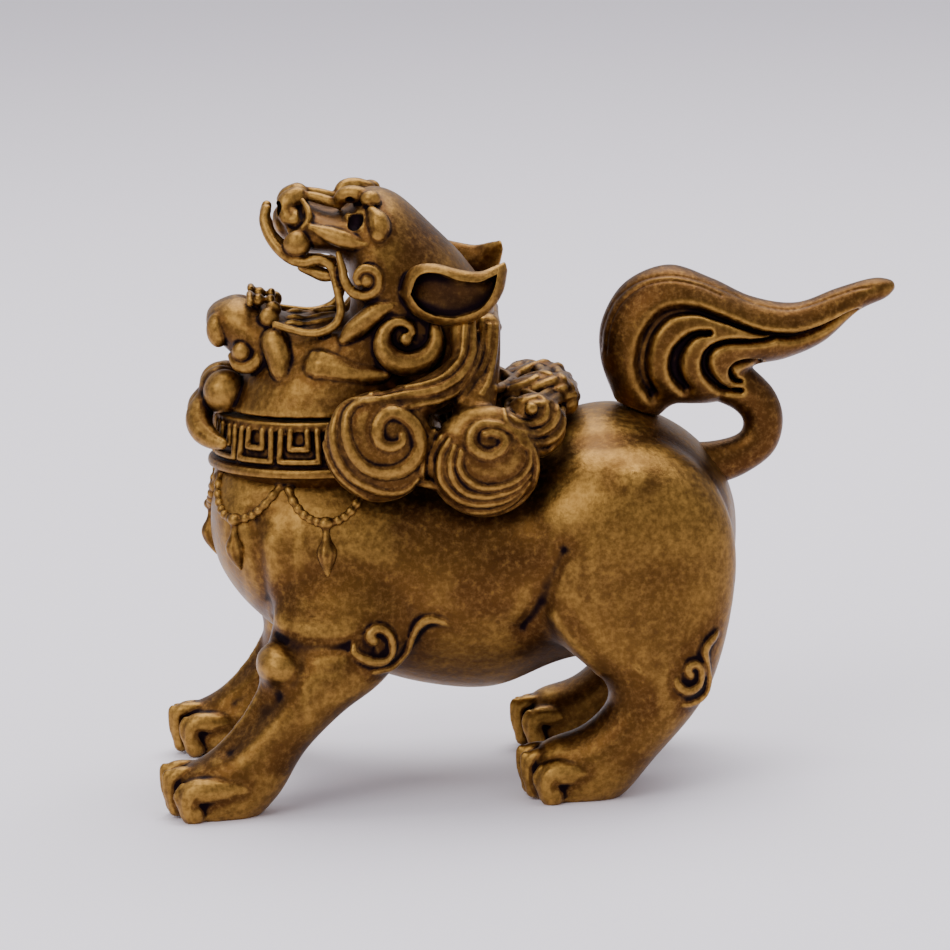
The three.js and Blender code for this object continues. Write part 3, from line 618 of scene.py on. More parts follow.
PLUME_LINES = [
    [(7.2, 39.2, 0.1), (7.5, 41.3, 0.1), (8.6, 43.7, 0.1), (10.8, 45.4, 0.1), (13.6, 45.9, 0.1),
     (16.2, 45.4, 0.1), (18.6, 44.4, 0.1), (21.6, 43.0, 0.1), (24.1, 42.4, 0.1), (26.0, 42.6, 0.1),
     (28.6, 43.4, 0.1), (30.5, 44.0, 0.1), (32.0, 44.2, 0.1)],
    [(7.7, 38.9, 0.1), (8.0, 41.1, 0.1), (9.1, 43.3, 0.1), (11.1, 44.9, 0.1), (13.6, 45.4, 0.1),
     (16.2, 44.9, 0.1), (18.4, 43.9, 0.1)],
]

CURL_LOCKS = [
    [(-14.6, 35.4, 0.2), (-16.4, 35.4, 0.26), (-17.5, 34.7, 0.28), (-18.2, 33.3, 0.3), (-18.4, 31.9, 0.3),
     (-18.0, 30.1, 0.3), (-17.1, 28.3, 0.3), (-15.4, 26.7, 0.3), (-13.7, 25.8, 0.3), (-12.0, 25.4, 0.28),
     (-10.7, 25.6, 0.25), (-10.1, 26.2, 0.2)],
    [(-14.3, 35.5, 0.3), (-15.8, 35.3, 0.35), (-16.9, 34.5, 0.4), (-17.5, 32.9, 0.42), (-17.5, 31.5, 0.42),
     (-17.1, 29.9, 0.42), (-16.0, 28.2, 0.42), (-14.5, 27.2, 0.42), (-12.8, 26.6, 0.4), (-11.0, 26.8, 0.35),
     (-9.9, 27.8, 0.3)],
    [(-13.4, 35.4, 0.35), (-15.1, 35.1, 0.39), (-16.1, 34.1, 0.44), (-16.3, 32.3, 0.48),
     (-15.8, 30.5, 0.53), (-14.7, 29.1, 0.58), (-13.2, 28.5, 0.65), (-11.5, 28.6, 0.7), (-10.2, 29.5, 0.7),
     (-9.5, 30.9, 0.7), (-9.9, 32.6, 0.66), (-10.9, 33.7, 0.63), (-12.1, 34.1, 0.61), (-13.1, 33.4, 0.6),
     (-13.4, 32.2, 0.58), (-13.0, 31.2, 0.53), (-12.0, 30.9, 0.48), (-11.2, 31.3, 0.42),
     (-11.1, 31.9, 0.35)],
    [(-8.2, 32.2, 0.3), (-9.1, 30.5, 0.33), (-9.4, 28.4, 0.35), (-9.1, 26.4, 0.38), (-8.1, 25.1, 0.38),
     (-6.4, 24.2, 0.38), (-4.5, 23.8, 0.38), (-2.3, 24.0, 0.39), (-0.6, 24.8, 0.39), (0.5, 26.2, 0.4),
     (1.1, 28.2, 0.38), (0.9, 29.8, 0.37), (0.2, 31.2, 0.35)],
    [(-7.6, 31.7, 0.3), (-8.5, 30.1, 0.34), (-8.7, 28.0, 0.38), (-8.1, 26.2, 0.4), (-6.5, 25.0, 0.4),
     (-4.6, 24.5, 0.4), (-2.5, 24.7, 0.38), (-0.9, 25.6, 0.34), (0.3, 27.1, 0.3)],
    [(-6.9, 31.3, 0.3), (-7.7, 29.9, 0.34), (-7.8, 27.9, 0.39), (-6.8, 26.3, 0.4), (-5.3, 25.4, 0.4),
     (-3.4, 25.2, 0.39), (-1.6, 25.6, 0.34), (-0.2, 26.6, 0.3)],
    [(-6.4, 30.7, 0.3), (-6.8, 29.3, 0.34), (-6.6, 27.7, 0.39), (-5.6, 26.4, 0.4), (-4.0, 25.9, 0.4),
     (-2.3, 26.1, 0.39), (-0.7, 26.7, 0.34), (0.4, 27.8, 0.3)],
    [(-5.8, 30.2, 0.3), (-6.0, 29.0, 0.33), (-5.4, 27.7, 0.36), (-4.0, 26.8, 0.37), (-2.3, 26.8, 0.36),
     (-0.7, 27.4, 0.35), (0.3, 28.5, 0.33), (0.5, 30.0, 0.31), (-0.1, 31.2, 0.31), (-1.2, 32.1, 0.33),
     (-2.4, 32.6, 0.38), (-3.8, 32.7, 0.45), (-4.7, 32.1, 0.5), (-4.9, 31.1, 0.52), (-4.3, 30.2, 0.52),
     (-3.3, 29.8, 0.5), (-2.3, 30.1, 0.48), (-1.8, 30.8, 0.46), (-2.0, 31.5, 0.43), (-2.8, 31.9, 0.39),
     (-3.5, 31.8, 0.35)],
    [(-1.4, 34.7, 0.3), (-1.4, 33.6, 0.3), (-0.5, 32.9, 0.3), (0.7, 32.6, 0.3), (1.9, 33.0, 0.3),
     (2.2, 34.0, 0.3), (1.7, 35.0, 0.3), (0.5, 35.5, 0.3), (-0.6, 35.4, 0.3), (-1.3, 34.8, 0.3)],
    [(-1.8, 34.0, 0.25), (-1.4, 32.5, 0.32), (-0.2, 31.8, 0.38), (1.4, 31.7, 0.38), (2.8, 32.6, 0.38),
     (3.2, 33.8, 0.32), (2.7, 34.9, 0.25)],
    [(-1.2, 32.2, 0.25), (-0.2, 31.1, 0.34), (1.4, 30.7, 0.4), (3.0, 31.3, 0.4), (3.7, 32.5, 0.34),
     (3.6, 33.8, 0.25)],
    [(-0.4, 30.9, 0.25), (0.8, 30.0, 0.34), (2.2, 30.0, 0.35), (3.3, 31.1, 0.3)],
]
TOP_LOCKS = [
    [(-2.5, 36.0, 0.35), (-1.3, 36.6, 0.39), (0.0, 37.5, 0.42), (1.2, 38.1, 0.39), (2.3, 38.5, 0.35)],
    [(-2.3, 35.6, 0.35), (-0.8, 36.0, 0.4), (0.8, 36.6, 0.45), (2.3, 37.5, 0.43), (3.7, 38.1, 0.4)],
    [(-2.0, 35.1, 0.35), (-0.2, 35.4, 0.4), (1.7, 36.1, 0.45), (3.3, 36.8, 0.43), (4.7, 37.1, 0.4)],
    [(-1.1, 34.7, 0.35), (0.6, 34.9, 0.4), (2.4, 35.3, 0.45), (4.0, 35.8, 0.43), (5.0, 36.2, 0.4)],
    [(0.6, 34.4, 0.35), (2.2, 34.5, 0.42), (3.6, 34.9, 0.42), (4.8, 35.2, 0.35)],
]
STRANDS = [
    [(-4.3, 42.2, 0.35), (-4.4, 39.4, 0.36), (-5.4, 37.5, 0.38), (-7.1, 36.4, 0.38), (-9.0, 35.9, 0.38),
     (-10.9, 35.7, 0.37), (-12.9, 35.4, 0.33), (-14.4, 35.1, 0.3)],
    [(-5.1, 41.9, 0.3), (-5.4, 39.4, 0.3), (-6.3, 38.0, 0.3), (-7.7, 37.0, 0.3), (-9.8, 36.5, 0.3),
     (-12.0, 36.3, 0.3), (-13.9, 35.8, 0.3)],
    [(-4.5, 38.0, 0.3), (-5.8, 35.9, 0.3), (-7.4, 35.1, 0.3), (-9.2, 34.8, 0.28), (-10.6, 34.5, 0.24),
     (-11.7, 34.4, 0.2)],
    [(-2.2, 43.5, 0.35), (-2.3, 40.7, 0.35), (-2.7, 38.3, 0.35), (-3.1, 36.7, 0.35), (-3.7, 35.6, 0.35)],
    [(-2.8, 43.0, 0.35), (-2.9, 40.7, 0.35), (-3.4, 38.5, 0.35), (-4.7, 36.6, 0.35), (-5.9, 34.8, 0.35),
     (-7.0, 33.6, 0.35), (-7.9, 32.4, 0.35), (-8.4, 31.2, 0.35)],
    [(-3.5, 42.4, 0.35), (-3.6, 40.1, 0.35), (-4.3, 38.0, 0.35), (-5.4, 36.2, 0.35), (-6.4, 34.8, 0.35),
     (-7.5, 33.6, 0.35), (-8.4, 32.2, 0.35), (-9.0, 30.5, 0.35)],
]

# Forms of the face: x, z where they are seen, the distance out from the middle plane, and the radius
LIP_ROPE = [
    (-22.8, 53.2, 1.3, 0.5), (-23.0, 52.2, 1.9, 0.52), (-22.7, 51.0, 2.6, 0.52), (-22.1, 49.9, 3.3, 0.52),
    (-21.3, 49.0, 3.9, 0.52), (-20.4, 48.4, 4.5, 0.52), (-19.4, 48.2, 4.9, 0.5), (-18.4, 48.4, 5.2, 0.48),
    (-17.6, 48.2, 5.4, 0.46), (-17.0, 47.6, 5.6, 0.44), (-16.8, 46.6, 5.9, 0.42), (-16.6, 45.6, 6.2, 0.42),
    (-16.4, 44.4, 6.5, 0.42), (-16.4, 43.4, 6.8, 0.42), (-16.9, 42.4, 6.9, 0.42), (-18.0, 41.8, 6.9, 0.42),
    (-19.4, 41.7, 6.6, 0.4), (-21.0, 42.1, 6.0, 0.38), (-22.4, 42.6, 5.3, 0.34),
]
FACE_ROPES = [
    [(-20.0, 54.2, 1.3, 1.05), (-20.7, 53.7, 1.5, 1.15), (-20.9, 53.0, 1.9, 1.05), (-20.8, 52.4, 2.5, 0.85)],
    [(-19.5, 53.9, 2.8, 0.24), (-19.0, 53.0, 3.5, 0.3), (-19.0, 52.1, 4.1, 0.32), (-19.5, 51.4, 4.2, 0.26)],
    [(-19.4, 54.4, 1.5, 0.4), (-18.2, 54.1, 1.7, 0.5), (-17.0, 53.7, 2.0, 0.5), (-16.2, 53.4, 2.4, 0.4)],
    [(-18.8, 51.4, 4.6, 0.3), (-17.4, 50.8, 5.0, 0.7), (-16.1, 50.3, 5.3, 0.85), (-14.9, 49.9, 5.6, 0.75),
     (-13.8, 49.6, 6.2, 0.4)],
    [(-16.2, 53.6, 2.2, 0.6), (-15.7, 54.2, 2.6, 0.78), (-14.7, 54.3, 2.9, 0.82), (-13.5, 54.0, 3.2, 0.7)],
    [(-13.2, 52.7, 4.9, 0.5), (-12.8, 52.0, 5.3, 0.92), (-12.6, 51.2, 5.6, 1.05), (-12.7, 50.5, 5.9, 0.85)],
    [(-19.7, 47.8, 3.6, 0.5), (-18.7, 47.4, 4.0, 0.62), (-17.8, 47.0, 4.4, 0.65), (-17.0, 46.9, 4.8, 0.5)],
    [(-16.4, 48.9, 5.8, 0.3), (-16.1, 47.6, 6.2, 0.4), (-15.9, 46.4, 6.6, 0.46), (-15.3, 45.4, 6.9, 0.5),
     (-14.5, 45.0, 7.1, 0.5), (-13.7, 45.0, 7.2, 0.5), (-13.0, 45.5, 7.3, 0.5), (-12.8, 46.3, 7.3, 0.48),
     (-13.0, 47.0, 7.3, 0.46), (-13.7, 47.4, 7.3, 0.46), (-14.4, 47.3, 7.3, 0.46), (-14.8, 46.7, 7.3, 0.42),
     (-14.7, 46.2, 7.4, 0.36)],
    [(-11.9, 43.9, 7.5, 0.55), (-12.7, 43.6, 7.5, 0.8), (-13.6, 43.1, 7.5, 0.95), (-14.5, 42.4, 7.4, 1.0),
     (-15.4, 41.7, 7.3, 0.9), (-16.1, 41.0, 7.2, 0.6)],
    [(-7.8, 41.9, 8.0, 0.5), (-7.8, 40.4, 8.2, 0.8), (-8.6, 39.1, 8.4, 1.05), (-10.2, 38.5, 8.5, 1.15),
     (-11.7, 38.9, 8.5, 1.1), (-12.6, 40.1, 8.4, 0.95), (-12.5, 41.4, 8.2, 0.72), (-11.8, 42.2, 8.1, 0.52),
     (-10.9, 42.4, 8.1, 0.42), (-10.1, 42.0, 8.2, 0.38), (-9.9, 41.4, 8.3, 0.36)],
    [(-18.1, 38.3, 6.6, 2.1), (-16.3, 37.9, 7.3, 1.7), (-14.4, 37.6, 7.9, 1.1), (-12.5, 37.6, 8.3, 0.5)],
    [(-22.5, 41.0, 5.0, 1.3), (-22.1, 39.7, 5.5, 1.3), (-21.9, 38.3, 6.0, 1.1), (-21.3, 37.1, 6.5, 0.8),
     (-20.4, 36.3, 7.0, 0.55), (-19.2, 35.9, 7.4, 0.25)],
    [(-24.2, 41.1, 4.3, 0.3), (-23.9, 40.3, 4.4, 0.5), (-24.2, 39.3, 4.4, 0.65), (-25.0, 38.8, 4.2, 0.7),
     (-25.9, 39.0, 3.9, 0.62), (-26.4, 39.8, 3.6, 0.45)],
    [(-24.6, 45.5, 1.6, 0.34), (-24.6, 45.3, 2.8, 0.36), (-24.6, 44.6, 3.6, 0.34)],
    [(-28.6, 36.2, 1.2, 1.1), (-29.6, 34.6, 2.2, 1.25), (-29.5, 33.2, 3.4, 1.2), (-28.6, 32.2, 4.8, 0.95),
     (-27.6, 31.7, 6.0, 0.55)],
    [(-21.6, 42.9, 1.6, 0.3), (-20.6, 43.2, 1.7, 0.34), (-19.6, 43.0, 1.7, 0.3), (-18.4, 43.2, 1.7, 0.34),
     (-17.0, 43.4, 1.7, 0.3)],
    [(-21.8, 42.4, 3.2, 0.28), (-20.8, 42.7, 3.3, 0.32), (-19.6, 42.5, 3.3, 0.28), (-18.4, 42.7, 3.4, 0.32),
     (-17.2, 42.9, 3.4, 0.28)],
]
# Rounded bosses: x, z where they are seen, the distance out, and the half-sizes along x, y and z
FACE_BOSSES = [
    (-20.1, 49.9, 4.2, (1.28, 1.1, 1.28)),
    (-13.3, 53.8, 3.9, (0.95, 0.8, 0.8)),
    (-15.2, 52.1, 3.9, (0.6, 0.6, 0.6)),
    (-13.9, 46.4, 7.1, (0.75, 0.7, 0.75)),
    (-10.5, 40.8, 8.4, (0.62, 0.5, 0.62)),
    (-27.6, 42.3, 2.3, (1.1, 1.1, 1.65)),
    (-23.8, 44.9, 2.1, (0.55, 0.7, 0.6)),
    (-22.7, 44.9, 2.0, (0.42, 0.6, 0.5)),
    (-22.5, 44.0, 3.2, (0.75, 0.7, 0.75)),
    (-22.9, 43.2, 3.7, (0.95, 0.8, 1.0)),
    (-25.5, 40.2, 4.0, (0.95, 0.9, 0.95)),
    (-27.2, 36.5, 2.6, (2.0, 2.0, 2.1)),
    (-27.5, 36.9, 1.2, (2.1, 1.6, 2.1)),
]
# Hollows cut into the face, in the same way
FACE_HOLLOWS = [
    (-21.6, 53.2, 1.9, (0.42, 0.9, 0.8)),
    (-15.3, 53.3, 4.6, (1.0, 1.5, 0.9)),
    (-14.9, 52.3, 5.3, (0.95, 1.1, 1.35)),
]
FACE_GROOVES = [
    [(-19.8, 53.6, 0.2), (-19.6, 52.7, 0.26), (-19.9, 51.9, 0.28), (-20.7, 51.4, 0.3), (-21.5, 51.7, 0.26)],
    [(-19.0, 53.8, 0.18), (-18.1, 53.3, 0.26), (-17.1, 52.9, 0.26), (-16.4, 52.9, 0.2)],
    [(-22.0, 52.8, 0.2), (-21.7, 51.6, 0.28), (-21.3, 50.6, 0.28), (-20.9, 49.4, 0.25)],
]
SHOULDER_SCROLL = [
    [(-16.2, 12.6, 0.15), (-16.3, 11.8, 0.28), (-15.6, 11.2, 0.37), (-14.6, 10.8, 0.42),
     (-13.6, 10.8, 0.42), (-12.9, 11.4, 0.42), (-12.7, 12.3, 0.42), (-12.9, 13.2, 0.41),
     (-13.4, 13.7, 0.41), (-14.0, 13.9, 0.42), (-14.6, 13.6, 0.44), (-14.8, 13.1, 0.45),
     (-14.4, 12.8, 0.45)],
    [(-14.6, 9.8, 0.2), (-13.7, 10.0, 0.33), (-12.8, 10.3, 0.41), (-12.0, 11.1, 0.45), (-11.4, 11.9, 0.47),
     (-11.0, 12.9, 0.46), (-10.4, 13.9, 0.44), (-9.6, 14.5, 0.42), (-8.9, 14.6, 0.38), (-8.0, 14.3, 0.27),
     (-7.3, 13.9, 0.1)],
]
HAUNCH_SCROLL = [
    [(13.4, 8.2, 0.15), (13.6, 7.5, 0.33), (14.3, 7.0, 0.42), (14.9, 7.1, 0.45), (15.5, 7.6, 0.41),
     (15.7, 8.4, 0.39), (15.6, 9.2, 0.38), (15.1, 9.5, 0.4), (14.6, 9.3, 0.41), (14.5, 8.8, 0.38),
     (14.8, 8.5, 0.3)],
    [(14.0, 5.7, 0.2), (14.8, 5.8, 0.33), (15.5, 6.2, 0.4), (16.1, 6.9, 0.41), (16.4, 8.0, 0.37),
     (16.3, 9.0, 0.36), (16.2, 9.8, 0.37), (16.1, 10.6, 0.41), (16.4, 11.4, 0.41), (16.9, 11.9, 0.35),
     (17.3, 12.4, 0.25)],
]


# Soft folds of the body: x, z where they are seen, and the half-width
BODY_VALLEYS = [
    [(-25.0, 24.6, 0.9), (-24.7, 22.0, 1.0), (-24.4, 19.4, 0.8), (-24.1, 17.0, 0.5)],
    [(-23.4, 13.6, 0.5), (-21.2, 12.6, 0.9), (-18.9, 12.3, 0.9), (-16.8, 12.4, 0.6)],
    [(-23.6, 7.6, 0.9), (-25.0, 6.1, 1.2), (-26.6, 4.4, 1.2), (-28.3, 2.9, 0.8)],
    [(3.2, 20.6, 0.8), (1.9, 17.8, 1.0), (0.9, 15.4, 0.8), (-0.6, 13.4, 0.6)],
]
BODY_RIDGES = [
    [(-23.7, 22.5, 0.8), (-23.5, 19.0, 1.0), (-23.2, 16.4, 0.9), (-22.8, 14.6, 0.6)],
    [(2.4, 14.6, 0.5), (3.6, 12.6, 0.6), (5.0, 10.8, 0.6), (6.4, 9.0, 0.5)],
]


# Body

def body_skin(voxel):
    """Torso and legs in one skin, with the soft folds of shoulder, knee and thigh."""
    parts = [loft(TORSO, along=64)]
    for side in (-1, 1):
        parts.append(loft(FRONT_LEG, side))
        parts.append(loft(HIND_LEG, side))
        parts += limb_forms(side)
    skin = fuse(parts, voxel, 16)
    press(skin, BODY_VALLEYS, 0.55, 2)
    press(skin, BODY_RIDGES, -0.4, 2)
    apply(skin, "SMOOTH", factor=0.5, iterations=4)
    return skin


def chamber():
    torso = loft(inset(TORSO, WALL), along=64)
    return fuse([torso, drum(NECK_HOLE_RADIUS, COLLAR_FOOT - 3, COLLAR_TOP + 2)], 0.4, 3)


def toes(foremost, middle, side):
    """Toes and claws of one paw. Each toe runs out from the instep, bends at its knuckle and drops to the
    ground; out is its distance from the paw's middle, back how far its front stands behind the foremost."""
    paths = []
    for out, back, top, size in ((2.6, 1.6, 4.0, 1.3), (0.8, 0.5, 4.7, 0.78), (-0.9, 0.2, 4.9, 0.78),
                                 (-2.5, 1.3, 4.2, 1.05)):
        x = foremost + back
        y = side * (middle + out)
        lean = side * (middle + out * 0.8)
        paths.append(run_of([
            (x + 6.0, lean, top - 1.1, size * 0.9), (x + 3.2, y, top - size * 0.9, size * 0.95),
            (x + size + 0.5, y, top - size, size), (x + size + 0.1, y, top - size - 0.9, size * 0.95),
            (x + size + 0.3, y, 0.9, size * 0.95)]))
        claw = 0.2 + size * 0.1
        paths.append(run_of([
            (x + size * 0.55, y, top - size * 0.5, claw), (x + 0.2, y, top - size * 1.1, claw),
            (x + 0.22, y, top * 0.5, claw * 0.9), (x + 0.6, y, 0.9, claw * 0.5)], 0.2))
    return paths


def limb_forms(side):
    """Knee, shin ridge and paw mass that the lofted legs lack."""
    return [
        ball((-22.9, side * 12.4, 13.6), (2.3, 3.1, 2.1), (0, 25, 0)),
        ball((-29.6, side * 12.7, 1.6), (3.7, 3.3, 2.7), (0, 8, 0)),
        ball((2.6, side * 10.5, 1.6), (3.7, 3.2, 2.6), (0, 8, 0)),
        ball((9.0, side * 8.4, 27.6), (4.6, 4.3, 3.6), (0, 0, 0)),
        bars([
            run_of([(-23.9, side * 12.0, 11.4, 1.0), (-26.0, side * 12.0, 8.2, 1.0),
                    (-28.6, side * 12.2, 5.3, 1.0), (-30.6, side * 12.4, 4.2, 0.9)]),
        ]),
    ]


def level_feet(piece):
    """Soles pressed flat on the ground."""
    points = points_of(piece)
    points[:, 2] = np.maximum(points[:, 2], 0)
    place(piece, points)
    return piece


def on_chest(tree, angle, height):
    turn = math.radians(angle)
    outward = Vector((-math.cos(turn), math.sin(turn), 0))
    start = Vector((COLLAR_X, 0, height)) + outward * 30
    return tree.ray_cast(start, -outward)[0]


def collar_ring():
    """The band above the chest: a flat ring below, a plain strip along the rim, and the keys' ground."""
    return turned([
        (NECK_HOLE_RADIUS, COLLAR_FOOT - 1.5), (RING_RADIUS - 1.0, COLLAR_FOOT - 1.0),
        (RING_RADIUS - 0.15, COLLAR_FOOT), (RING_RADIUS + 0.25, COLLAR_FOOT + 0.12),
        (RING_RADIUS + 0.32, COLLAR_FOOT + 0.45), (RING_RADIUS + 0.2, COLLAR_FOOT + 0.8),
        (RING_RADIUS - 0.35, COLLAR_FOOT + 0.95), (RING_RADIUS - 0.45, COLLAR_FOOT + 1.2),
        (RIM_RADIUS - 0.3, COLLAR_TOP - 0.95), (RIM_RADIUS - 0.02, COLLAR_TOP - 0.75),
        (RIM_RADIUS, COLLAR_TOP - 0.1), (RIM_RADIUS - 0.15, COLLAR_TOP),
        (NECK_HOLE_RADIUS, COLLAR_TOP), (NECK_HOLE_RADIUS, COLLAR_TOP - 3)])


def key_bars():
    """Square keys round the band: an open bar on three sides and a smaller open bar on three sides inside it."""
    low, high = COLLAR_FOOT + 1.5, COLLAR_TOP - 0.75
    bar = 0.31

    def at(angle, height):
        share = (height - COLLAR_FOOT) / (COLLAR_TOP - COLLAR_FOOT)
        radius = RING_RADIUS + (RIM_RADIUS - RING_RADIUS) * share - 0.12
        turn = math.radians(angle)
        return (COLLAR_X - radius * math.cos(turn), radius * math.sin(turn), height, bar)

    paths = []
    for i in range(KEY_COUNT):
        middle = 360 / KEY_COUNT * i
        outer = 9.9
        inner = 4.6
        for corners in (
                [(-outer, high), (-outer - 0.6, low), (outer + 0.6, low), (outer, high)],
                [(-inner, high), (-inner - 0.3, low + 1.15), (inner + 0.3, low + 1.15), (inner, high)]):
            points = []
            for (a, z), (b, w) in zip(corners, corners[1:]):
                for t in np.linspace(0, 1, 12):
                    points.append(at(middle + a + (b - a) * t, z + (w - z) * t))
            paths.append(np.array(points))
    return paths


def swag_paths(tree):
    """Beaded cords that hang in arcs from the ring, with a knot and a leaf-shaped drop at each lowest point."""
    paths = []
    drops = []
    for place_no in range(-2, 3):
        middle = place_no * SWAG_STEP
        cord = []
        for u in np.linspace(-1, 1, 61):
            spot = on_chest(tree, middle + u * SWAG_STEP / 2, COLLAR_FOOT - 0.1 - 3.7 * (1 - abs(u) ** 2.1))
            cord.append([*spot, 0.42 + 0.07 * math.sin(u * 46)])
        paths.append(np.array(cord))
        knot = on_chest(tree, middle, COLLAR_FOOT - 3.8)
        drops.append((knot, (0.75, 0.75, 0.6)))
        stem = [on_chest(tree, middle, COLLAR_FOOT - h) for h in (4.0, 4.7, 5.3, 5.9, 6.4, 7.0, 7.7, 8.4)]
        thick = (0.4, 0.36, 0.5, 0.85, 0.98, 0.85, 0.55, 0.2)
        paths.append(run_of([[*p, r] for p, r in zip(stem, thick)], 0.2))
    return paths, drops


# Head

def curl_pads(side):
    """The domed grounds that the locks of the mane lie on."""
    pads = [
        ball((-13.3, side * 12.2, 33.2), (5.0, 2.2, 5.0)),
        ball((-3.9, side * 12.2, 31.6), (5.0, 2.4, 5.0)),
        ball((0.6, side * 9.2, 34.0), (3.0, 2.5, 3.0)),
    ]
    pads.append(bars([
        run_of([(-5.0, side * 2.4, 34.4, 1.6), (-1.2, side * 3.0, 35.4, 1.8), (2.2, side * 3.2, 36.0, 1.9),
                (3.6, side * 3.2, 35.2, 1.5)]),
        run_of([(-5.4, side * 8.4, 43.0, 1.2), (-5.6, side * 9.4, 39.8, 1.4), (-8.4, side * 10.8, 37.6, 1.7),
                (-12.4, side * 11.8, 36.4, 1.7)]),
        run_of([(-3.1, side * 6.4, 42.8, 1.2), (-3.6, side * 7.8, 39.4, 1.5), (-4.6, side * 10.2, 36.0, 1.9),
                (-5.2, side * 11.4, 34.2, 1.9)]),
    ]))
    return pads


def head_hollow():
    """The room inside the head and the way out through the jaws."""
    throat = run_of([
        (-26.0, 0, 48.6, THROAT_RADIUS), (-19.0, 0, 46.2, THROAT_RADIUS), (-13.0, 0, 45.4, THROAT_RADIUS)])
    return fuse([
        loft(inset(NECK, WALL)), loft(inset(SKULL[1:6], WALL + 0.4)),
        drum(LID_HOLE_RADIUS, COLLAR_TOP - 4, COLLAR_TOP + 2.6), bars([throat], 8)], 0.4, 3)


def lid_seat():
    """The room that the body and its collar need under the head."""
    grown = JOINT_GAP + 0.1
    band = turned([
        (0.5, COLLAR_FOOT - 4), (RING_RADIUS - 1.5, COLLAR_FOOT - 4), (RING_RADIUS + 0.4, COLLAR_FOOT),
        (RING_RADIUS + 0.95, COLLAR_FOOT + 0.5), (RING_RADIUS + 0.8, COLLAR_FOOT + 1),
        (RIM_RADIUS + 0.6, COLLAR_TOP - 0.5), (RIM_RADIUS + 0.45, COLLAR_TOP + JOINT_GAP),
        (0.5, COLLAR_TOP + JOINT_GAP)])
    core = drum(2.0, COLLAR_FOOT - 4, COLLAR_TOP + JOINT_GAP)
    parts = [band, core, loft(inset(TORSO, -grown), along=64)]
    for side in (-1, 1):
        parts.append(loft(inset(HIND_LEG, -grown), side))
    return fuse(parts, 0.3, 2)


def sighted(x, z, out, side=-1):
    """The place this far out from the middle plane that is seen at x, z; side 1 is its mirror place."""
    middle = np.array([x, 0.0, z])
    spot = EYE + (middle - EYE) * (EYE[1] + out) / EYE[1]
    return spot * [1, -side, 1]


def face_path(rope, side):
    return run_of([[*sighted(x, z, out, side), r] for x, z, out, r in rope], 0.2)


def face_forms(side):
    """Ropes, lobes and bosses of one half of the face."""
    forms = [ball(sighted(x, z, out, side), size) for x, z, out, size in FACE_BOSSES]
    return forms + [bars([face_path(rope, side) for rope in [LIP_ROPE, *FACE_ROPES]], 4)]


def face_hollows(side):
    """Nostril, eye socket and ear dish of one side."""
    dish = inset(EAR, 0.72)
    dish[:, 4] += 1.35
    dish[:, 5] = 1.25
    cuts = [ball(sighted(x, z, out, side), size) for x, z, out, size in FACE_HOLLOWS]
    return [*cuts, loft(dish, side)]


def head_core():
    parts = [loft(NECK), loft(SKULL), loft(UPPER_JAW), loft(LOWER_JAW)]
    return fuse(parts, 0.3, 8)


# Settings and operators

class LionSettings(bpy.types.PropertyGroup):
    skin: bpy.props.StringProperty(
        name="Bronze", description="sRGB hex colour of the smooth patina", default="#5E4022")
    shade: bpy.props.StringProperty(
        name="Mottling", description="sRGB hex colour of the darker mottling", default="#43290F")
    gold: bpy.props.StringProperty(
        name="Rubbed specks", description="sRGB hex colour of the lighter mottling", default="#8A6530")
    # Colour of the rubbed metal on the ridges, which also serves as their painted highlight
    wear_and_highlight: bpy.props.StringProperty(
        name="Worn ridges", description="sRGB hex colour of rubbed metal on the ridges", default="#A37C3E")
    # Colour of the dark patina in the crevices, which also serves as their painted shade
    hollow: bpy.props.StringProperty(
        name="Hollows", description="sRGB hex colour of the patina in the crevices", default="#150C10")
    floor_colour: bpy.props.StringProperty(
        name="Floor", description="sRGB hex colour of the floor", default="#F6F1FA")
    body_voxel: bpy.props.FloatProperty(
        name="Body grain", description="Size in millimetres of the body mesh's cells", default=0.2)
    fine_voxel: bpy.props.FloatProperty(
        name="Relief grain", description="Size in millimetres of the cells in relief", default=0.12)


class LION_OT_stage(bpy.types.Operator):
    """Camera, lights and a plain pale floor"""
    bl_idname = "lion.stage"
    bl_label = "Stage"

    def execute(self, context):
        settings = context.scene.lion
        clear()
        bpy.ops.object.camera_add()
        camera = context.object
        camera.name = "camera"
        back = Vector(TO_EYE)
        right = (-back).cross(Vector((0, 0, 1))).normalized()
        up = right.cross(-back)
        level = math.cos(EYE_ROLL) * right - math.sin(EYE_ROLL) * up
        rise = math.sin(EYE_ROLL) * right + math.cos(EYE_ROLL) * up
        turn = Matrix((level, rise, back)).transposed().to_4x4()
        camera.matrix_world = Matrix.Translation(Vector(EYE) * 0.001) @ turn
        camera.data.lens = LENS
        camera.data.sensor_width = 36
        camera.data.clip_start = 0.01
        context.scene.camera = camera

        clear()
        bpy.ops.mesh.primitive_plane_add(size=8, location=(0, 1.5, 0))
        floor = context.object
        floor.name = "floor"
        material = bpy.data.materials.new("matt_floor")
        material.use_nodes = True
        shader = material.node_tree.nodes["Principled BSDF"]
        shader.inputs["Base Color"].default_value = colour(settings.floor_colour)
        shader.inputs["Roughness"].default_value = 0.6
        floor.data.materials.append(material)

        world = bpy.data.worlds.new("soft_room")
        context.scene.world = world
        world.use_nodes = True
        background = world.node_tree.nodes["Background"]
        background.inputs["Color"].default_value = colour("#FBF8FF")
        background.inputs["Strength"].default_value = 0.75
        for name, at, size, power in (
                ("top_softbox", (0.05, 0.18, 0.55), 0.5, 4.0),
                ("front_softbox", (-0.35, -0.4, 0.45), 0.4, 2.0)):
            clear()
            bpy.ops.object.light_add(type="AREA", location=at)
            light = context.object
            light.name = name
            light.data.size = size
            light.data.energy = power
            aim = Vector((0, 0, 0.03)) - Vector(at)
            light.rotation_euler = aim.to_track_quat("-Z", "Y").to_euler()
        return {"FINISHED"}


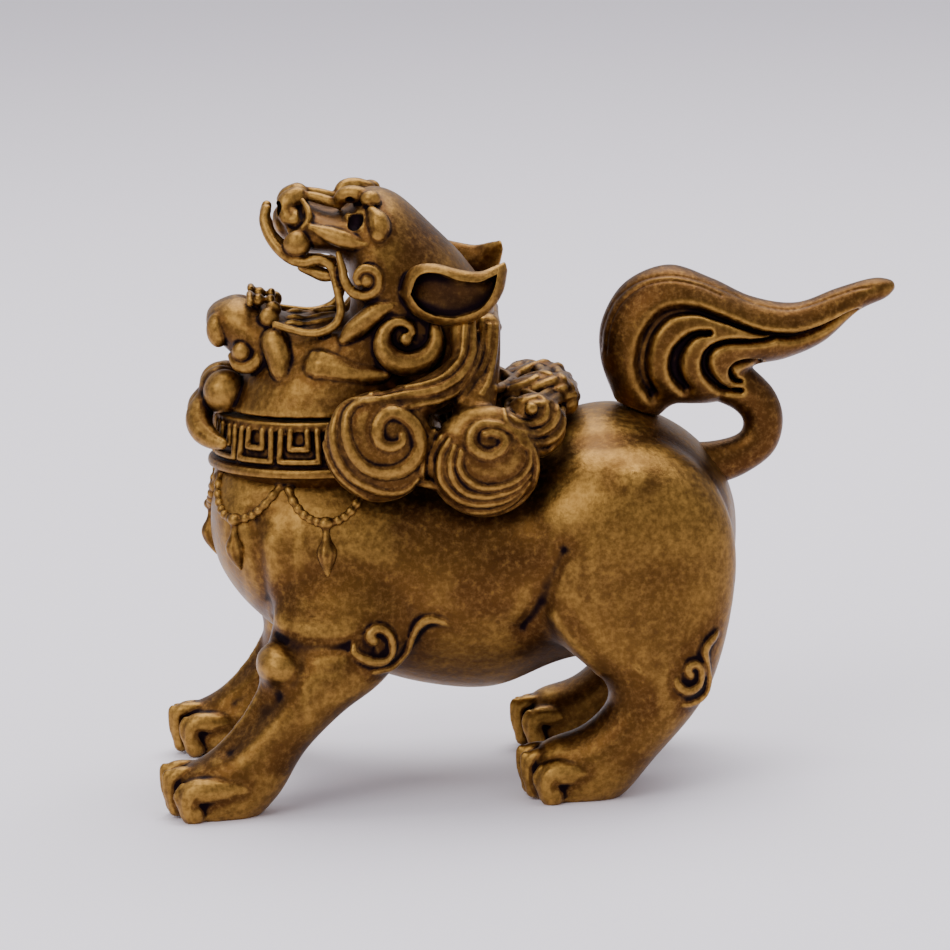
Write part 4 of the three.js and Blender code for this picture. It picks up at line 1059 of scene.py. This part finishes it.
class LION_OT_body(bpy.types.Operator):
    """Hollow body with its legs, paws and flank scrolls"""
    bl_idname = "lion.body"
    bl_label = "Body casting"

    def execute(self, context):
        settings = context.scene.lion
        skin = body_skin(0.35)
        tree = tree_of(skin)
        trim = laid(tree, SHOULDER_SCROLL + HAUNCH_SCROLL, 0.0)
        for side in (-1, 1):
            trim += toes(-34.3, 12.6, side)
            trim += toes(-2.0, 10.4, side)
        carve(skin, chamber())
        whole = fuse([skin, bars(trim)], settings.body_voxel, 2)
        level_feet(whole)
        finish_piece(whole, "body_casting", ["body_vessel"],
                     patinated_bronze("patinated_bronze_body", look_of(settings)))
        return {"FINISHED"}


class LION_OT_collar(bpy.types.Operator):
    """Collar with square keys, swags and drops"""
    bl_idname = "lion.collar"
    bl_label = "Collar"

    def execute(self, context):
        settings = context.scene.lion
        skin = body_skin(0.35)
        paths, knots = swag_paths(tree_of(skin))
        bpy.data.objects.remove(skin)
        parts = [collar_ring(), bars(key_bars(), 2), bars(paths)]
        parts += [ball(at, size, segments=16, rings=10) for at, size in knots]
        whole = fuse(parts, settings.fine_voxel, 1)
        finish_piece(whole, "collar_casting", ["body_vessel"],
                     bpy.data.materials["patinated_bronze_body"])
        return {"FINISHED"}


class LION_OT_tail(bpy.types.Operator):
    """Tail with its curling plume"""
    bl_idname = "lion.tail"
    bl_label = "Tail plume"

    def execute(self, context):
        settings = context.scene.lion
        whole = fuse([loft(TAIL_STEM), loft(PLUME, along=80)], settings.fine_voxel, 12)
        press(whole, PLUME_CHANNELS, 1.0, 4)
        press(whole, PLUME_LINES, 0.12, 2, (0.0, 0.1))
        apply(whole, "SMOOTH", factor=0.5, iterations=2)
        finish_piece(whole, "tail_casting", ["body_vessel"],
                     bpy.data.materials["patinated_bronze_body"])
        return {"FINISHED"}


class LION_OT_head(bpy.types.Operator):
    """Hollow head with open jaws, ears and beard"""
    bl_idname = "lion.head"
    bl_label = "Head casting"

    def execute(self, context):
        settings = context.scene.lion
        core = head_core()
        press(core, FACE_GROOVES, 0.5, 4)
        carve(core, head_hollow())
        parts = [core]
        for side in (-1, 1):
            parts += face_forms(side)
            parts.append(loft(EAR, side))
        whole = fuse(parts, settings.fine_voxel + 0.03, 2)
        for side in (-1, 1):
            for hollow in face_hollows(side):
                carve(whole, hollow)
        carve(whole, lid_seat())
        finish_piece(whole, "head_casting", ["head_lid"],
                     patinated_bronze("patinated_bronze_head", look_of(settings)))
        return {"FINISHED"}


class LION_OT_mane(bpy.types.Operator):
    """Curled locks of the mane on both sides of the neck"""
    bl_idname = "lion.mane"
    bl_label = "Mane"

    def execute(self, context):
        settings = context.scene.lion
        pads = [pad for side in (-1, 1) for pad in curl_pads(side)]
        ground = fuse(pads, 0.3, 3)
        tree = tree_of(ground)
        locks = laid(tree, [[(x, z, r * 1.3) for x, z, r in line] for line in CURL_LOCKS + TOP_LOCKS + STRANDS], 0.5)
        knobs = [ball((0.4, side * 11.6, 36.0), 0.6) for side in (-1, 1)]
        whole = fuse([ground, bars(locks), *knobs], settings.fine_voxel, 1)
        carve(whole, lid_seat())
        finish_piece(whole, "mane_casting", ["head_lid"],
                     bpy.data.materials["patinated_bronze_head"])
        return {"FINISHED"}


class LION_PT_panel(bpy.types.Panel):
    """Settings and steps of the lion"""
    bl_label = "Guardian Lion"
    bl_space_type = "VIEW_3D"
    bl_region_type = "UI"
    bl_category = "Lion"

    def draw(self, context):
        for name in LionSettings.__annotations__:
            self.layout.prop(context.scene.lion, name)
        for step in STEPS:
            self.layout.operator(step.bl_idname)


STEPS = (LION_OT_stage, LION_OT_body, LION_OT_collar, LION_OT_tail, LION_OT_head, LION_OT_mane)
CLASSES = (LionSettings, *STEPS, LION_PT_panel)


def register():
    for kind in CLASSES:
        bpy.utils.register_class(kind)
    bpy.types.Scene.lion = bpy.props.PointerProperty(type=LionSettings)


def unregister():
    del bpy.types.Scene.lion
    for kind in reversed(CLASSES):
        bpy.utils.unregister_class(kind)


def main():
    register()
    bpy.ops.lion.stage()
    bpy.ops.lion.body()
    bpy.ops.lion.collar()
    bpy.ops.lion.tail()
    bpy.ops.lion.head()
    bpy.ops.lion.mane()


if __name__ == "__main__":
    main()
